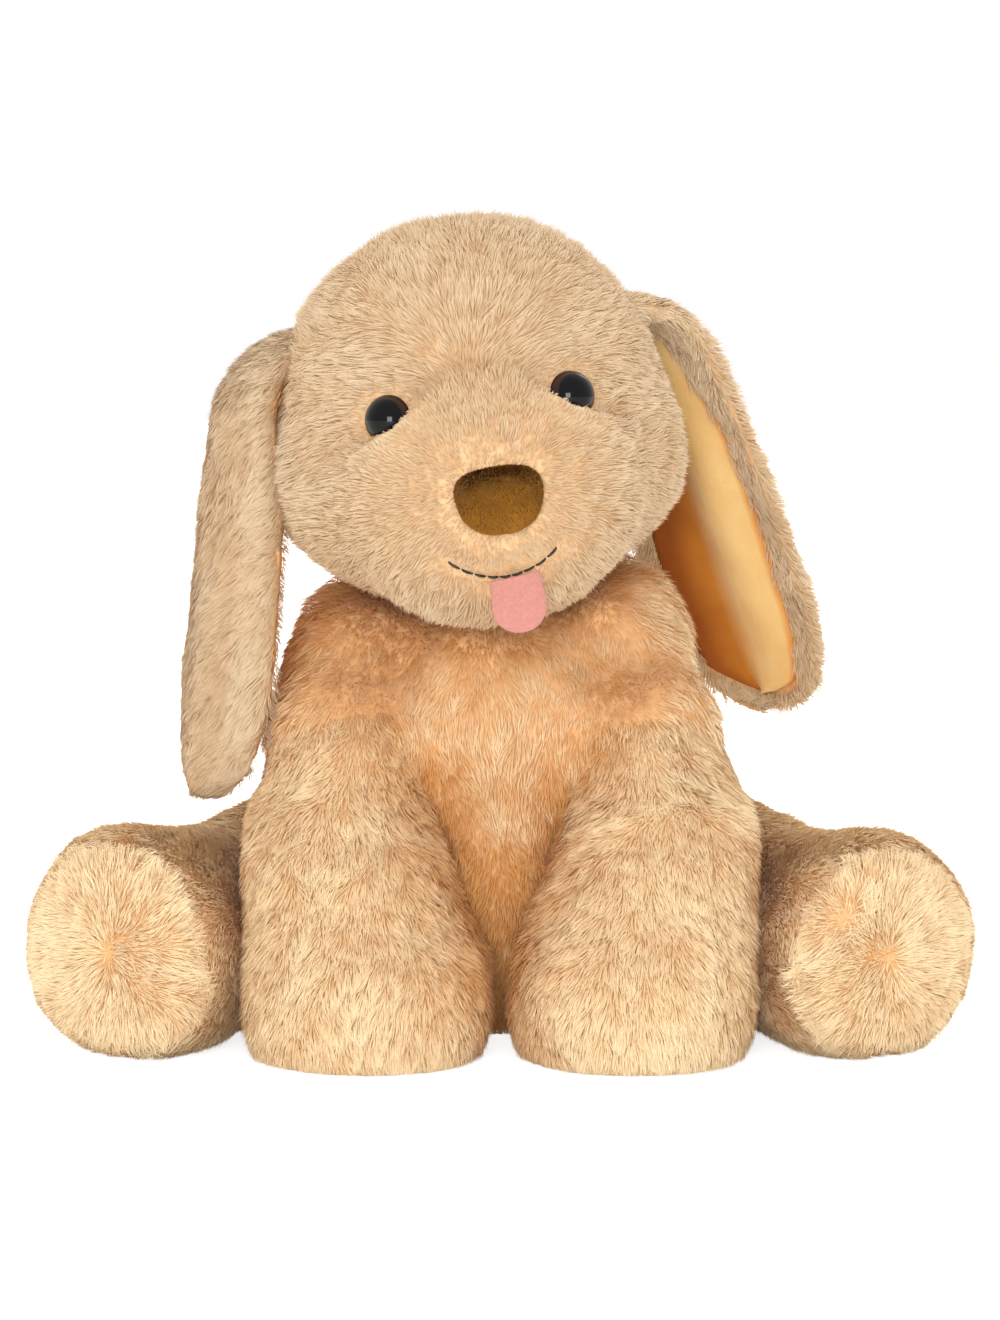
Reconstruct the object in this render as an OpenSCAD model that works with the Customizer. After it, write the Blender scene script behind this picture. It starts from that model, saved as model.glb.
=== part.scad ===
// Sitting plush dog with floppy lined ears. Millimetres, +Z up, the dog looks along -Y.
// The origin lies on the ground under the middle of the toy.

/* [Fabric and filling] */
// Thickness of every plush cover, backing and pressed pile together
cover_thickness = 3.5; // [2:0.1:6]
// Play between a filling and the cover round it
filling_gap = 0.4; // [0.3:0.1:1]
// Room left where one stuffed piece presses a dent into another
press_gap = 1.8; // [0.8:0.1:4]
// Thickness of the ear lining
lining_thickness = 1.2; // [0.8:0.1:3]

/* [Torso] */
// Width of the seat and belly
belly_width = 126; // [100:1:160]
// Depth of the seat and belly, front to back
belly_depth = 112; // [90:1:150]
// Width of the chest and shoulders
chest_width = 130; // [90:1:150]
// Depth of the chest
chest_depth = 98; // [70:1:130]
// Height of the neck seam above the ground
neck_height = 146; // [130:1:190]

/* [Head] */
// Width of the cranium
cranium_width = 118; // [90:1:150]
// Height of the cranium
cranium_height = 116; // [90:1:150]
// Width across the cheeks
cheek_width = 126; // [100:1:160]
// Width of the muzzle
muzzle_width = 84; // [60:1:110]
// Reach of the muzzle in front of the cranium's centre
muzzle_reach = 82; // [70:1:110]
// Lean of the head towards the dog's right shoulder, in degrees
head_tilt = 7.5; // [-15:0.5:15]
// Turn of the head towards the dog's left, in degrees
head_turn = 3.5; // [-10:0.5:10]

/* [Face] */
// Diameter of each domed eye
eye_diameter = 15; // [10:0.5:24]
// Distance between the eyes, centre to centre
eye_spacing = 52; // [40:1:80]
// Diameter of the post behind each eye
post_diameter = 4.6; // [3:0.1:6]
// Play of the post in the cover
post_play = 0.2; // [0.1:0.05:0.5]
// Width of the nose
nose_width = 27; // [18:1:44]
// Height of the nose
nose_height = 20; // [14:1:34]
// Width of the stitched mouth
mouth_width = 36; // [24:1:60]
// Width of the tongue
tongue_width = 16; // [10:1:28]
// Length of the tongue
tongue_length = 19; // [12:1:34]

/* [Ears] */
// Length of each ear from its root
ear_length = 151; // [100:1:200]
// Greatest width of each ear
ear_width = 60; // [40:1:90]
// Thickness of the plush layer of an ear
ear_thickness = 5; // [3:0.5:9]

/* [Legs and tail] */
// Height of the shoulder joints above the ground
shoulder_height = 98; // [80:1:130]
// Width of the upper front leg
leg_width = 52; // [40:1:70]
// Width of each front paw
paw_width = 73; // [55:1:90]
// Length of each front paw
paw_length = 74; // [55:1:100]
// Height of each hind foot
foot_height = 70; // [50:1:90]
// Width of each hind foot
foot_width = 66; // [45:1:80]
// Length of each hind leg from the hip centre to the front of the foot
hind_length = 112; // [80:1:130]
// Height of the tail above its root
tail_length = 40; // [25:1:80]

/* [Movement] */
// Turn of the head to each side, in degrees
turn_range = 25; // [0:1:35]
// Nod of the head upwards, in degrees
nod_range = 15; // [0:1:20]

/* [Hidden] */
far = 1e4;
blend_power = 14;
head_rows = 15;
head_columns = 28;
torso_rows = 17;
torso_columns = 32;
limb_columns = 20;

// Vector helpers
function unit(v) = v / norm(v);
function over(a, b) = [a.x / b.x, a.y / b.y, a.z / b.z];
function sum(list, i = 0) = i < len(list) ? list[i] + sum(list, i + 1) : 0;
function mix(a, b, t) = a + (b - a) * t;
function about_z(v, a) = [v.x * cos(a) - v.y * sin(a), v.x * sin(a) + v.y * cos(a), v.z];
function about_y(v, a) = [v.x * cos(a) + v.z * sin(a), v.y, v.z * cos(a) - v.x * sin(a)];
function about_x(v, a) = [v.x, v.y * cos(a) - v.z * sin(a), v.y * sin(a) + v.z * cos(a)];
function way(polar, azimuth) = [sin(polar) * cos(azimuth), sin(polar) * sin(azimuth), cos(polar)];

// Distance from a point along d to the far wall of an ellipsoid [centre, radii], 0 where it misses
function wall(seat, d, lump) =
    let (o = over(seat - lump[0], lump[1]), v = over(d, lump[1]), b = o * v,
         q = b * b - (v * v) * (o * o - 1))
    q > 0 ? max((sqrt(q) - b) / (v * v), 0) : 0;

// Distance from an outside point along d to the near side of an ellipsoid, far where it misses
function hit(seat, d, lump) =
    let (o = over(seat - lump[0], lump[1]), v = over(d, lump[1]), b = o * v,
         q = b * b - (v * v) * (o * o - 1))
    q > 0 && b < 0 ? (-b - sqrt(q)) / (v * v) : far;

// Smooth union of lumps, seen from an inside point
function bulk(seat, d, lumps) =
    pow(sum([for (lump = lumps) pow(wall(seat, d, lump), blend_power)]), 1 / blend_power);

// Smooth curve through a list of keys, at t from 0 to 1
function along(keys, t) =
    let (n = len(keys) - 1, i = min(floor(t * n), n - 1), f = t * n - i,
         a = keys[max(i - 1, 0)], b = keys[i], c = keys[i + 1], e = keys[min(i + 2, n)])
    b + 0.5 * f * ((c - a) + f * ((2 * a - 5 * b + 4 * c - e) + f * (3 * b - a - 3 * c + e)));

// Closed skin over a stack of rings with a point at each end
// A twin skin has its two sides meshed as mirror images
module skin(first, rings, last, twin = false) {
    n = len(rings[0]);
    m = len(rings);
    end = m * n + 1;
    polyhedron(
        points = concat([first], [for (ring = rings) each ring], [last]),
        faces = concat(
            [for (j = [0 : n - 1]) [0, 1 + (j + 1) % n, 1 + j]],
            [for (i = [0 : m - 2], j = [0 : n - 1], half = [0, 1])
                let (p = 1 + i * n + j, q = 1 + i * n + (j + 1) % n, turned = twin && j >= n / 4 && j < 3 * n / 4)
                half == 0 ? [p, q, turned ? p + n : q + n] : [turned ? q : p, q + n, p + n]],
            [for (j = [0 : n - 1]) [end, end - n + j, end - n + (j + 1) % n]]),
        convexity = 4);
}

// Neck: the seam point on which the head turns and nods
neck = [-3, 8, neck_height];
neck_radius = 13;

// Head: lumps in its own frame, whose origin is the cranium's centre
cranium = [[0, 0, 0], [cranium_width / 2, 57, cranium_height / 2]];
cheeks = [[0, -14, -0.34 * cranium_height / 2], [cheek_width / 2, 50, 40]];
muzzle = [[0, 36 - muzzle_reach, -30], [muzzle_width / 2, 36, 35]];
head_lumps = [cranium, cheeks, muzzle];
head_seat = [0, -20, -14];
neck_in_head = [0, 10, 3 - cranium_height / 2];
function head_way(v) = about_y(about_z(v, head_turn), -head_tilt);
head_at = neck - head_way(neck_in_head);
function head_reach(d) = bulk(head_seat, d, head_lumps);
// Point of the head in space, seen from its seat along local direction d, raised by h
function head_point(d, h) = head_at + head_way(head_seat + d * (head_reach(d) + h));
module on_head() translate(head_at) rotate([0, -head_tilt, 0]) rotate([0, 0, head_turn]) children();

module head_shape(inset)
    skin(head_point([0, 0, 1], -inset),
        [for (i = [1 : head_rows - 1]) [for (j = [0 : head_columns - 1])
            head_point(way(180 * i / head_rows, 360 * j / head_columns), -inset)]],
        head_point([0, 0, -1], -inset), true);
// Ball of firm filling in the neck, and the opening it needs
module neck_ball(play) translate(neck) sphere(neck_radius + play, $fn = 48);

// Front legs: keys of height, centre and half widths from the sole to the shoulder, for the dog's left
shoulder = [49, -17, shoulder_height];
shoulder_radius = leg_width / 2;
paw_centre = [4.5 + paw_width / 2, -55];
front_top = shoulder_height + shoulder_radius;
front_keys = [
    [0, paw_centre.x, paw_centre.y, 0.42 * paw_width, 0.41 * paw_length],
    [9, paw_centre.x, paw_centre.y, 0.49 * paw_width, 0.485 * paw_length],
    [27, paw_centre.x, paw_centre.y + 1, 0.5 * paw_width, 0.5 * paw_length],
    [48, paw_centre.x + 4, paw_centre.y + 9, 0.45 * paw_width, 0.44 * paw_length],
    [70, shoulder.x + 1, -38, 0.56 * leg_width, 0.57 * leg_width],
    [shoulder_height - 16, shoulder.x + 1, -24, 0.51 * leg_width, 0.52 * leg_width],
    [shoulder_height + 4, shoulder.x, -17, 0.48 * leg_width, 0.48 * leg_width],
    [shoulder_height + 18, shoulder.x - 1, -15, 0.33 * leg_width, 0.33 * leg_width],
    [front_top, shoulder.x - 2, -15, 0.1 * leg_width, 0.1 * leg_width]];
function front_ring(key, inset) =
    let (z = inset + key[0] * (front_top - 2 * inset) / front_top)
    [for (j = [0 : limb_columns - 1]) let (a = 360 * j / limb_columns)
        [key[1] + max(key[3] - inset, 1) * cos(a), key[2] + max(key[4] - inset, 1) * sin(a), z]];
front_steps = 11;
module front_leg_shape(inset) {
    first = front_keys[0];
    last = front_keys[len(front_keys) - 1];
    rings = [for (i = [front_steps : -1 : 0]) front_ring(along(front_keys, i / front_steps), inset)];
    skin([last[1], last[2], front_top - inset], rings, [first[1], first[2], inset]);
}
// Lumps that fill a front leg, for the dents it presses into the torso
front_lumps = [
    [shoulder, shoulder_radius * [1, 1, 1]],
    for (i = [1 : 0.5 : 5]) let (key = along(front_keys, i / 8))
        [[key[1], key[2], key[0]], [key[3], key[4], max(key[3], key[4])]]];

// Hind legs: keys along the leg from behind the hip to the front of the foot, for the dog's left
hip = [65, 45, 38];
hip_radius = 31;
hind_angle = 33.5;
hind_keys = [
    [-0.97 * hip_radius, 37, 6, 7],
    [-0.72 * hip_radius, 37, 0.68 * hip_radius, 0.7 * hip_radius],
    [0, 39, hip_radius, 1.14 * hip_radius],
    [0.34 * hind_length, 33, 0.93 * hip_radius, 0.98 * hip_radius],
    [0.62 * hind_length, 0.47 * foot_height, 0.47 * foot_width, 0.47 * foot_height],
    [0.82 * hind_length, foot_height / 2, foot_width / 2, foot_height / 2],
    [0.95 * hind_length, foot_height / 2, 0.42 * foot_width, 0.43 * foot_height],
    [hind_length, 0.49 * foot_height, 0.2 * foot_width, 0.2 * foot_height]];
hind_way = [sin(hind_angle), -cos(hind_angle), 0];
hind_side = [cos(hind_angle), sin(hind_angle), 0];
hind_start = hind_keys[0][0];
function hind_centre(key, inset) =
    let (s = hind_start + inset + (key[0] - hind_start) * (hind_length - hind_start - 2 * inset) / (hind_length - hind_start))
    [hip.x, hip.y, key[1]] + hind_way * s;
function hind_ring(key, inset) =
    [for (j = [0 : limb_columns - 1]) let (a = -360 * j / limb_columns,
        p = hind_centre(key, inset) + hind_side * max(key[2] - inset, 1) * cos(a) + [0, 0, max(key[3] - inset, 1) * sin(a)])
        [p.x, p.y, max(p.z, inset)]];
hind_steps = 11;
module hind_leg_shape(inset) {
    rings = [for (i = [0 : hind_steps]) hind_ring(along(hind_keys, i / hind_steps), inset)];
    skin(hind_centre(hind_keys[0], inset), rings, hind_centre(hind_keys[len(hind_keys) - 1], inset));
}
hind_lumps = [for (i = [1.5 : 0.5 : 4.5]) let (key = along(hind_keys, i / 7))
    [hind_centre(key, 0), [key[2], key[2], key[3]]]];

// Tail: a ball at the root, bent out and up along the back
tail_root = [0, 17 + belly_depth / 2 + 2, 22];
tail_radius = 10;
module tail_shape(inset) {
    steps = 9;
    low = tail_radius - inset;
    high = tail_length - inset;
    function ring(i) =
        let (z = mix(-0.95 * low, 0.985 * high, i / steps),
             r = z < 0 ? sqrt(low * low - z * z) : low * sqrt(1 - 0.1 * z / high - 0.88 * pow(max(z / high - 0.4, 0) / 0.6, 4)))
        [for (j = [0 : 15]) tail_root + tail_bend(z) + [r * cos(-22.5 * j), r * sin(-22.5 * j), z]];
    skin(tail_root - [0, 0, low], [for (i = [0 : steps]) ring(i)], tail_root + tail_bend(high) + [0, 0, high]);
}
function tail_bend(z) = let (t = min(max(z / 20, 0), 1)) [0, 10.5 * t * t * (3 - 2 * t), 0];
module tail_ball(play) translate(tail_root) sphere(tail_radius + play, $fn = 48);

// Torso: two lumps, a flat seat, and a dent wherever another piece presses in
torso_seat = [0, 16, 68];
belly = [[0, 17, 54], [belly_width / 2, belly_depth / 2, 64]];
chest = [[-2, 9, neck_height - 40], [chest_width / 2, chest_depth / 2, 50]];
shoulders = [[-2, 15, neck_height - 24], [0.47 * chest_width, 0.46 * chest_depth, 38]];
torso_lumps = [belly, chest, shoulders];
// A dent is wider than its limb by the rim, but clears the limb's near side by the press gap only
dent_rim = 6.5;
function dent(lump, gap) = [lump[0] + unit(lump[0] - torso_seat) * (dent_rim - gap), lump[1] + dent_rim * [1, 1, 1]];
function flip(v) = [-v.x, v.y, v.z];
hip_gap = 0.65 * press_gap;
left_dents = concat(
    [for (lump = front_lumps) dent(lump, press_gap)],
    [for (lump = hind_lumps) dent(lump, hip_gap)]);
right_dents = concat(
    [for (lump = front_lumps) dent([flip(lump[0]), lump[1]], press_gap)],
    [for (lump = hind_lumps) dent([flip(lump[0]), lump[1]], hip_gap)]);
limb_dents = concat(left_dents, right_dents);
// The head in one place of its travel, as a dent seen by a ray from the torso
function un_head(v) = about_z(about_y(v, head_tilt), -head_turn);
function head_dent(d, turn, nod) =
    let (back = function(v) un_head(about_x(about_z(v, -turn), nod)),
         o = back(torso_seat - neck) + neck_in_head, v = back(d))
    min([for (lump = head_lumps) hit(o, v, [lump[0], lump[1] + (press_gap + 2) * [1, 1, 1]])]);
head_places = [for (turn = [-1 : 0.5 : 1], nod = [0, 0.5, 1]) [turn * turn_range, nod * nod_range]];
function torso_radius(d, inset) =
    min(min(bulk(torso_seat, d, torso_lumps),
            min([for (lump = limb_dents) hit(torso_seat, d, lump)]),
            min([for (place = head_places) head_dent(d, place[0], place[1])])) - inset,
        d.z < 0 ? (inset - torso_seat.z) / d.z : far);
module torso_shape(inset) {
    function point(d) = torso_seat + d * torso_radius(d, inset);
    skin(point([0, 0, 1]),
        [for (i = [1 : torso_rows - 1]) [for (j = [0 : torso_columns - 1])
            point(way(180 * i / torso_rows, 360 * j / torso_columns))]],
        point([0, 0, -1]), true);
}

// Pellet bag: a round cushion of revolution
module bag(radius, height, play) {
    rotate_extrude($fn = 48) {
        square([radius - height / 2, height + 2 * play]);
        translate([radius - height / 2, height / 2 + play])
            intersection() {
                circle(height / 2 + play, $fn = 48);
                translate([0, -height]) square([height, 2 * height]);
            }
    }
}
module seat_bag(play) translate([0, 28, 12 - play]) bag(29, 22, play);
module paw_bag(play) translate([paw_centre.x, paw_centre.y + 2, 11 - play]) bag(22, 20, play);
module foot_bag(play) translate(hind_centre(hind_keys[5], 0) - [0, 0, foot_height / 2 - 12 + play] - 6 * hind_way) bag(18, 18, play);

// Eyes: local place and outward direction on the head
eye_up = 13.5;
eye_lift = 4.3;
function eye_way(u) = unit([u, -36, eye_up]);
function eye_side(u, rounds) = rounds == 0 ? u
    : let (d = eye_way(u)) eye_side(u * eye_spacing / 2 / (d.x * head_reach(d)), rounds - 1);
eye_out = eye_side(eye_spacing / 2, 6);
function eye_seat(side) = let (d = eye_way(side * eye_out)) head_seat + d * (head_reach(d) + eye_lift);
module at_eye(side) {
    aim = unit([side * 0.42, -1, 0.2]);
    on_head() translate(eye_seat(side)) rotate([0, acos(aim.z), atan2(aim.y, aim.x)]) children();
}
eye_rise = 0.36 * eye_diameter;
post_length = 15;
module eye_shape() rotate_extrude($fn = 64) {
    dome = (eye_diameter * eye_diameter / 4 + eye_rise * eye_rise) / (2 * eye_rise);
    intersection() {
        translate([0, eye_rise - dome]) circle(dome, $fn = 96);
        square([eye_diameter, eye_rise]);
    }
    translate([0, -post_length]) square([post_diameter / 2, post_length + 0.5]);
}
washer_depth = eye_lift + cover_thickness + 2.6;
module washer_shape() translate([0, 0, -washer_depth - 1.2])
    difference() {
        cylinder(h = 1.2, d = 1.05 * eye_diameter, $fn = 64);
        translate([0, 0, -1]) cylinder(h = 4, d = post_diameter + 0.1, $fn = 48);
    }
module eye_bore(d, depth) translate([0, 0, -depth]) cylinder(h = depth + 8, d = d, $fn = 48);

// Face pieces that follow the head's front: local direction for a place on the face
face_depth = muzzle_reach - 20;
function face(u, v) = unit([u, -face_depth, v]);
nose_up = -12.5;
mouth_up = -33;
module nose() {
    around = 20;
    function edge(a) = [nose_width / 2 * cos(a) * (1 + 0.16 * sin(a)), nose_up + nose_height / 2 * sin(a)];
    function ring(share, h) = [for (j = [0 : around - 1]) let (e = edge(360 * j / around))
        head_point(face(share * e.x, nose_up + share * (e.y - nose_up)), h)];
    color("#8a6530") skin(head_point(face(0, nose_up), 9),
        [ring(0.4, 8.6), ring(0.75, 7), ring(0.94, 4.4), ring(1, 2.2), ring(0.93, 0.6), ring(0.5, 0.5)],
        head_point(face(0, nose_up), 0.5));
}
module mouth_stitch() {
    steps = 18;
    thread = 0.8;
    function line(t) = let (u = mouth_width * (t - 0.5), bow = 1 - pow(2 * t - 1, 2))
        [u, mouth_up + 1.5 - 8 * bow];
    function ring(t) = let (p = line(t), q = line(t + 0.01), side = unit([p.y - q.y, q.x - p.x]))
        [for (j = [0 : 5]) let (a = -60 * j)
            head_point(face(p.x + thread * cos(a) * side.x, p.y + thread * cos(a) * side.y), 1.1 + thread * sin(a))];
    color("#2c2724") skin(head_point(face(line(0).x, line(0).y), 1.1), [for (i = [0 : steps]) ring(i / steps)],
        head_point(face(line(1).x, line(1).y), 1.1));
}
tongue_at = head_seat + face(3, mouth_up - 5.5) * (head_reach(face(3, mouth_up - 5.5)) + 2.4);
module tongue() color("#ee9a9c")
    on_head() translate(tongue_at) rotate([90, 0, 0]) linear_extrude(2) {
        translate([-tongue_width / 2, tongue_width / 2 - tongue_length])
            square([tongue_width, tongue_length - tongue_width / 2]);
        translate([0, tongue_width / 2 - tongue_length]) circle(d = tongue_width, $fn = 64);
    }

// Ears: a sheet that hangs from a root on the side of the head
// side, turn about the vertical, lean out from the vertical, height of the root and its stand off the head
ear_left = [1, 38, 22, 31, 6];
ear_right = [-1, 22, 6.4, 36, 6.4];
ear_bend = 30;
ear_start = 65;
ear_cup = 9;
ear_gap = 1.1;
function ear_way(ear) = unit([ear[0] * 54, 24, ear[3]]);
function ear_root(ear) = head_point(ear_way(ear), ear[4]);
function ear_half(t) = ear_width / 2 * (t < 0.74 ? 0.5 + 0.5 * sin(90 * t / 0.74) : sqrt(max(1 - pow((t - 0.74) / 0.264, 2), 0)));
// The sheet leaves the head sideways, bends down on an arc and hangs
function ear_point(ear, t, u, n) =
    let (s = ear_length * t, bent = ear_bend * ear_start * PI / 180,
         slope = max(ear_start - s / ear_bend * 180 / PI, 0),
         path = [ear_bend * (cos(slope) - cos(ear_start)), 0, ear_bend * (sin(slope) - sin(ear_start)) - max(s - bent, 0)],
         lift = n - ear_cup * u * u * min(1, 2.5 * t),
         p = path + [lift * cos(slope), ear_half(t) * u, lift * sin(slope)],
         leant = about_y(p, -ear[2]))
    ear_root(ear) + about_z([ear[0] * leant.x, leant.y, leant.z], ear[1]);
module ear_layer(ear, low, high) {
    steps = 13;
    across = 6;
    function ring(t) = let (order = ear[0] > 0 ? [0 : across] : [across : -1 : 0])
        concat([for (i = order) let (u = 2 * i / across - 1) ear_point(ear, t, u, low + (high - low) * (1 - 0.55 * u * u))],
               [for (i = order) let (u = 1 - 2 * i / across) ear_point(ear, t, u, low)]);
    middle = (low + high) / 2;
    skin(ear_point(ear, 0, 0, middle), [for (i = [0 : steps]) ring(0.995 * (1 - pow(1 - i / steps, 1.35)))], ear_point(ear, 1, 0, middle));
}
module ear_outer(ear) color("#f0cb98") ear_layer(ear, 0, ear_thickness);
module ear_lining(ear) color("#efc271") ear_layer(ear, -ear_gap - lining_thickness, -ear_gap);

// Stuffed pieces: a cover, the filling inside it and a pellet bag inside that
module cover() color("#f2c893") difference() { children(0); children(1); }
inside = cover_thickness + filling_gap;

module sockets(play) {
    neck_ball(play);
    tail_ball(play + 1.2);
}
module torso_cover() color("#f2c893") difference() {
    torso_shape(0);
    torso_shape(cover_thickness);
    sockets(filling_gap);
}
module torso_filling() color("#f4f1ea") difference() {
    torso_shape(inside);
    seat_bag(filling_gap);
    sockets(filling_gap);
}
module seat_pellet_bag() color("#d9d4c8") seat_bag(0);
module neck_filling() color("#f4f1ea") neck_ball(0);
module head_cover() color("#f2cfa0") difference() {
    head_shape(0);
    head_shape(cover_thickness);
    neck_ball(filling_gap);
    for (side = [-1, 1]) at_eye(side) eye_bore(post_diameter + 2 * post_play, 12);
}
module head_filling() color("#f4f1ea") difference() {
    head_shape(inside);
    neck_ball(filling_gap);
    for (side = [-1, 1]) at_eye(side) eye_bore(1.05 * eye_diameter + 1, post_length + 1);
}
module eye_left() color("#20140d") at_eye(1) eye_shape();
module eye_right() color("#20140d") at_eye(-1) eye_shape();
module eye_washer_left() color("#e8e6df") at_eye(1) washer_shape();
module eye_washer_right() color("#e8e6df") at_eye(-1) washer_shape();
module ear_left_outer() ear_outer(ear_left);
module ear_left_lining() ear_lining(ear_left);
module ear_right_outer() ear_outer(ear_right);
module ear_right_lining() ear_lining(ear_right);
module front_leg_left_cover() cover() { front_leg_shape(0); front_leg_shape(cover_thickness); }
module front_leg_left_filling() color("#f4f1ea") difference() { front_leg_shape(inside); paw_bag(filling_gap); }
module front_leg_left_pellet_bag() color("#d9d4c8") paw_bag(0);
module front_leg_right_cover() mirror([1, 0, 0]) front_leg_left_cover();
module front_leg_right_filling() mirror([1, 0, 0]) front_leg_left_filling();
module front_leg_right_pellet_bag() mirror([1, 0, 0]) front_leg_left_pellet_bag();
module hind_leg_left_cover() cover() { hind_leg_shape(0); hind_leg_shape(cover_thickness); }
module hind_leg_left_filling() color("#f4f1ea") difference() { hind_leg_shape(inside); foot_bag(filling_gap); }
module hind_leg_left_pellet_bag() color("#d9d4c8") foot_bag(0);
module hind_leg_right_cover() mirror([1, 0, 0]) hind_leg_left_cover();
module hind_leg_right_filling() mirror([1, 0, 0]) hind_leg_left_filling();
module hind_leg_right_pellet_bag() mirror([1, 0, 0]) hind_leg_left_pellet_bag();
module tail_cover() cover() { tail_shape(0); tail_shape(cover_thickness); }
module tail_filling() color("#f4f1ea") tail_shape(inside);

torso_cover();
torso_filling();
seat_pellet_bag();
neck_filling();
head_cover();
head_filling();
eye_left();
eye_right();
eye_washer_left();
eye_washer_right();
nose();
mouth_stitch();
tongue();
ear_left_outer();
ear_left_lining();
ear_right_outer();
ear_right_lining();
front_leg_left_cover();
front_leg_left_filling();
front_leg_left_pellet_bag();
front_leg_right_cover();
front_leg_right_filling();
front_leg_right_pellet_bag();
hind_leg_left_cover();
hind_leg_left_filling();
hind_leg_left_pellet_bag();
hind_leg_right_cover();
hind_leg_right_filling();
hind_leg_right_pellet_bag();
tail_cover();
tail_filling();
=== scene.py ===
# %% [markdown]
# # A sitting plush dog
# The toy is sewn from long-pile plush and stuffed, with floppy lined ears, plastic eyes, a velour nose,
# a stitched mouth and a felt tongue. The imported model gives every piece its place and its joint.
# Here each stuffed piece gets a soft skin and a coat of real pile, strand by strand, so that the fluff
# shows in the outline as well as in the colour. Shapes are worked out in millimetres.

import math

import bmesh
import bpy
import numpy as np
from mathutils import Matrix, Vector
from mathutils.bvhtree import BVHTree


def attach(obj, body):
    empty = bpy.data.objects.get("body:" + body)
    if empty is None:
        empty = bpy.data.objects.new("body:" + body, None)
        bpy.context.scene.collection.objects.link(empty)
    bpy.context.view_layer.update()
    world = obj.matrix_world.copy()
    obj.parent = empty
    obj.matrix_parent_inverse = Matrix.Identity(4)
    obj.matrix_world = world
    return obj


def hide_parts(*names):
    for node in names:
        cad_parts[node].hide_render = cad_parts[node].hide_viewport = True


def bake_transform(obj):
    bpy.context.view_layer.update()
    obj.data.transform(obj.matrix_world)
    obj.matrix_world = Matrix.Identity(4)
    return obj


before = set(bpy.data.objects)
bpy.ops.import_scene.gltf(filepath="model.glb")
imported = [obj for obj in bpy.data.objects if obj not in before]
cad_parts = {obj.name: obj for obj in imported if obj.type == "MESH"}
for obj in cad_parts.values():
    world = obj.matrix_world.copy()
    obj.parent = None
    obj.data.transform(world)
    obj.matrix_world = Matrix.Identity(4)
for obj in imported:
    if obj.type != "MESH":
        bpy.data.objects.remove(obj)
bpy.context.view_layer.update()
scene = bpy.context.scene
MM = 0.001
HANDS = ((1, "left"), (-1, "right"))

# %% [markdown]
# ## Camera, floor and light
# The photograph is taken from the front, a little above the middle of the toy, with a long lens.
# The picture is 1000 x 1320, so the lens is fitted to the long, upright side. The floor and the
# background are white for the camera, while the lamps stay at a plain level.

# %% Camera
TARGET = Vector((0, 0, 119)) * MM
DISTANCE = 1400 * MM
ELEVATION = math.radians(5)
FRAME_HEIGHT = 422.4 * MM
SENSOR = 36.0


def put_object(name, data):
    """A new object in the scene."""
    item = bpy.data.objects.new(name, data)
    scene.collection.objects.link(item)
    return item


camera_data = bpy.data.cameras.new("camera")
camera_data.sensor_width = SENSOR
camera_data.lens = SENSOR * DISTANCE / FRAME_HEIGHT
camera = put_object("camera", camera_data)
camera.location = TARGET + Vector((0, -math.cos(ELEVATION), math.sin(ELEVATION))) * DISTANCE
camera.rotation_euler = (math.pi / 2 - ELEVATION, 0, 0)
scene.camera = camera
scene.view_settings.view_transform = "Standard"
print("lens in mm:", round(camera_data.lens, 1))


# %% Colours and nodes
def linear(code):
    """An sRGB hex code as the linear colour that shaders use."""
    share = np.array([int(code[i:i + 2], 16) for i in (1, 3, 5)]) / 255
    straight = np.where(share <= 0.04045, share / 12.92, ((share + 0.055) / 1.055) ** 2.4)
    return (*straight.tolist(), 1.0)


def add_node(tree, kind, settings=None, inputs=None, links=None):
    """Adds a node, sets its properties and input values, and links sockets of other nodes to its inputs."""
    node = tree.nodes.new(kind)
    for name, value in (settings or {}).items():
        setattr(node, name, value)
    for name, value in (inputs or {}).items():
        node.inputs[name].default_value = value
    for name, socket in (links or {}).items():
        tree.links.new(socket, node.inputs[name])
    return node


def new_material(name):
    """An empty node material and its tree."""
    material = bpy.data.materials.new(name)
    material.use_nodes = True
    material.node_tree.nodes.clear()
    return material, material.node_tree


def object_place(tree):
    """The place on a piece in metres, in the piece's own space."""
    return add_node(tree, "ShaderNodeTexCoord").outputs["Object"]


def uv_parts(tree, name):
    """The two parts of a UV map, as the outputs X and Y."""
    place = add_node(tree, "ShaderNodeUVMap", {"uv_map": name})
    return add_node(tree, "ShaderNodeSeparateXYZ", links={"Vector": place.outputs[0]}).outputs


def colour_ramp(tree, share, stops):
    """The colour at a share along a ramp. Stops are (position, hex code), in rising order."""
    ramp = add_node(tree, "ShaderNodeValToRGB", links={"Fac": share})
    elements = ramp.color_ramp.elements
    for i, (position, code) in ((0, stops[0]), (1, stops[-1])):
        elements[i].position = position
        elements[i].color = linear(code)
    for position, code in stops[1:-1]:
        elements.new(position).color = linear(code)
    return ramp.outputs["Color"]


def put_surface(tree, colour, finish, normal=None):
    """Ends a tree with a surface of a colour and a finish."""
    links = {"Base Color": colour}
    if normal is not None:
        links["Normal"] = normal
    surface = add_node(tree, "ShaderNodeBsdfPrincipled", inputs=finish, links=links)
    add_node(tree, "ShaderNodeOutputMaterial", links={"Surface": surface.outputs[0]})


def mottled(name, stops, noise, bump, finish):
    """A stuff that one noise mottles and roughens. The noise's scale counts grains in a metre."""
    material, tree = new_material(name)
    grain = add_node(tree, "ShaderNodeTexNoise", inputs=noise, links={"Vector": object_place(tree)}).outputs["Fac"]
    relief = add_node(tree, "ShaderNodeBump", inputs=bump, links={"Height": grain})
    put_surface(tree, colour_ramp(tree, grain, stops), finish, relief.outputs[0])
    return material


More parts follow.
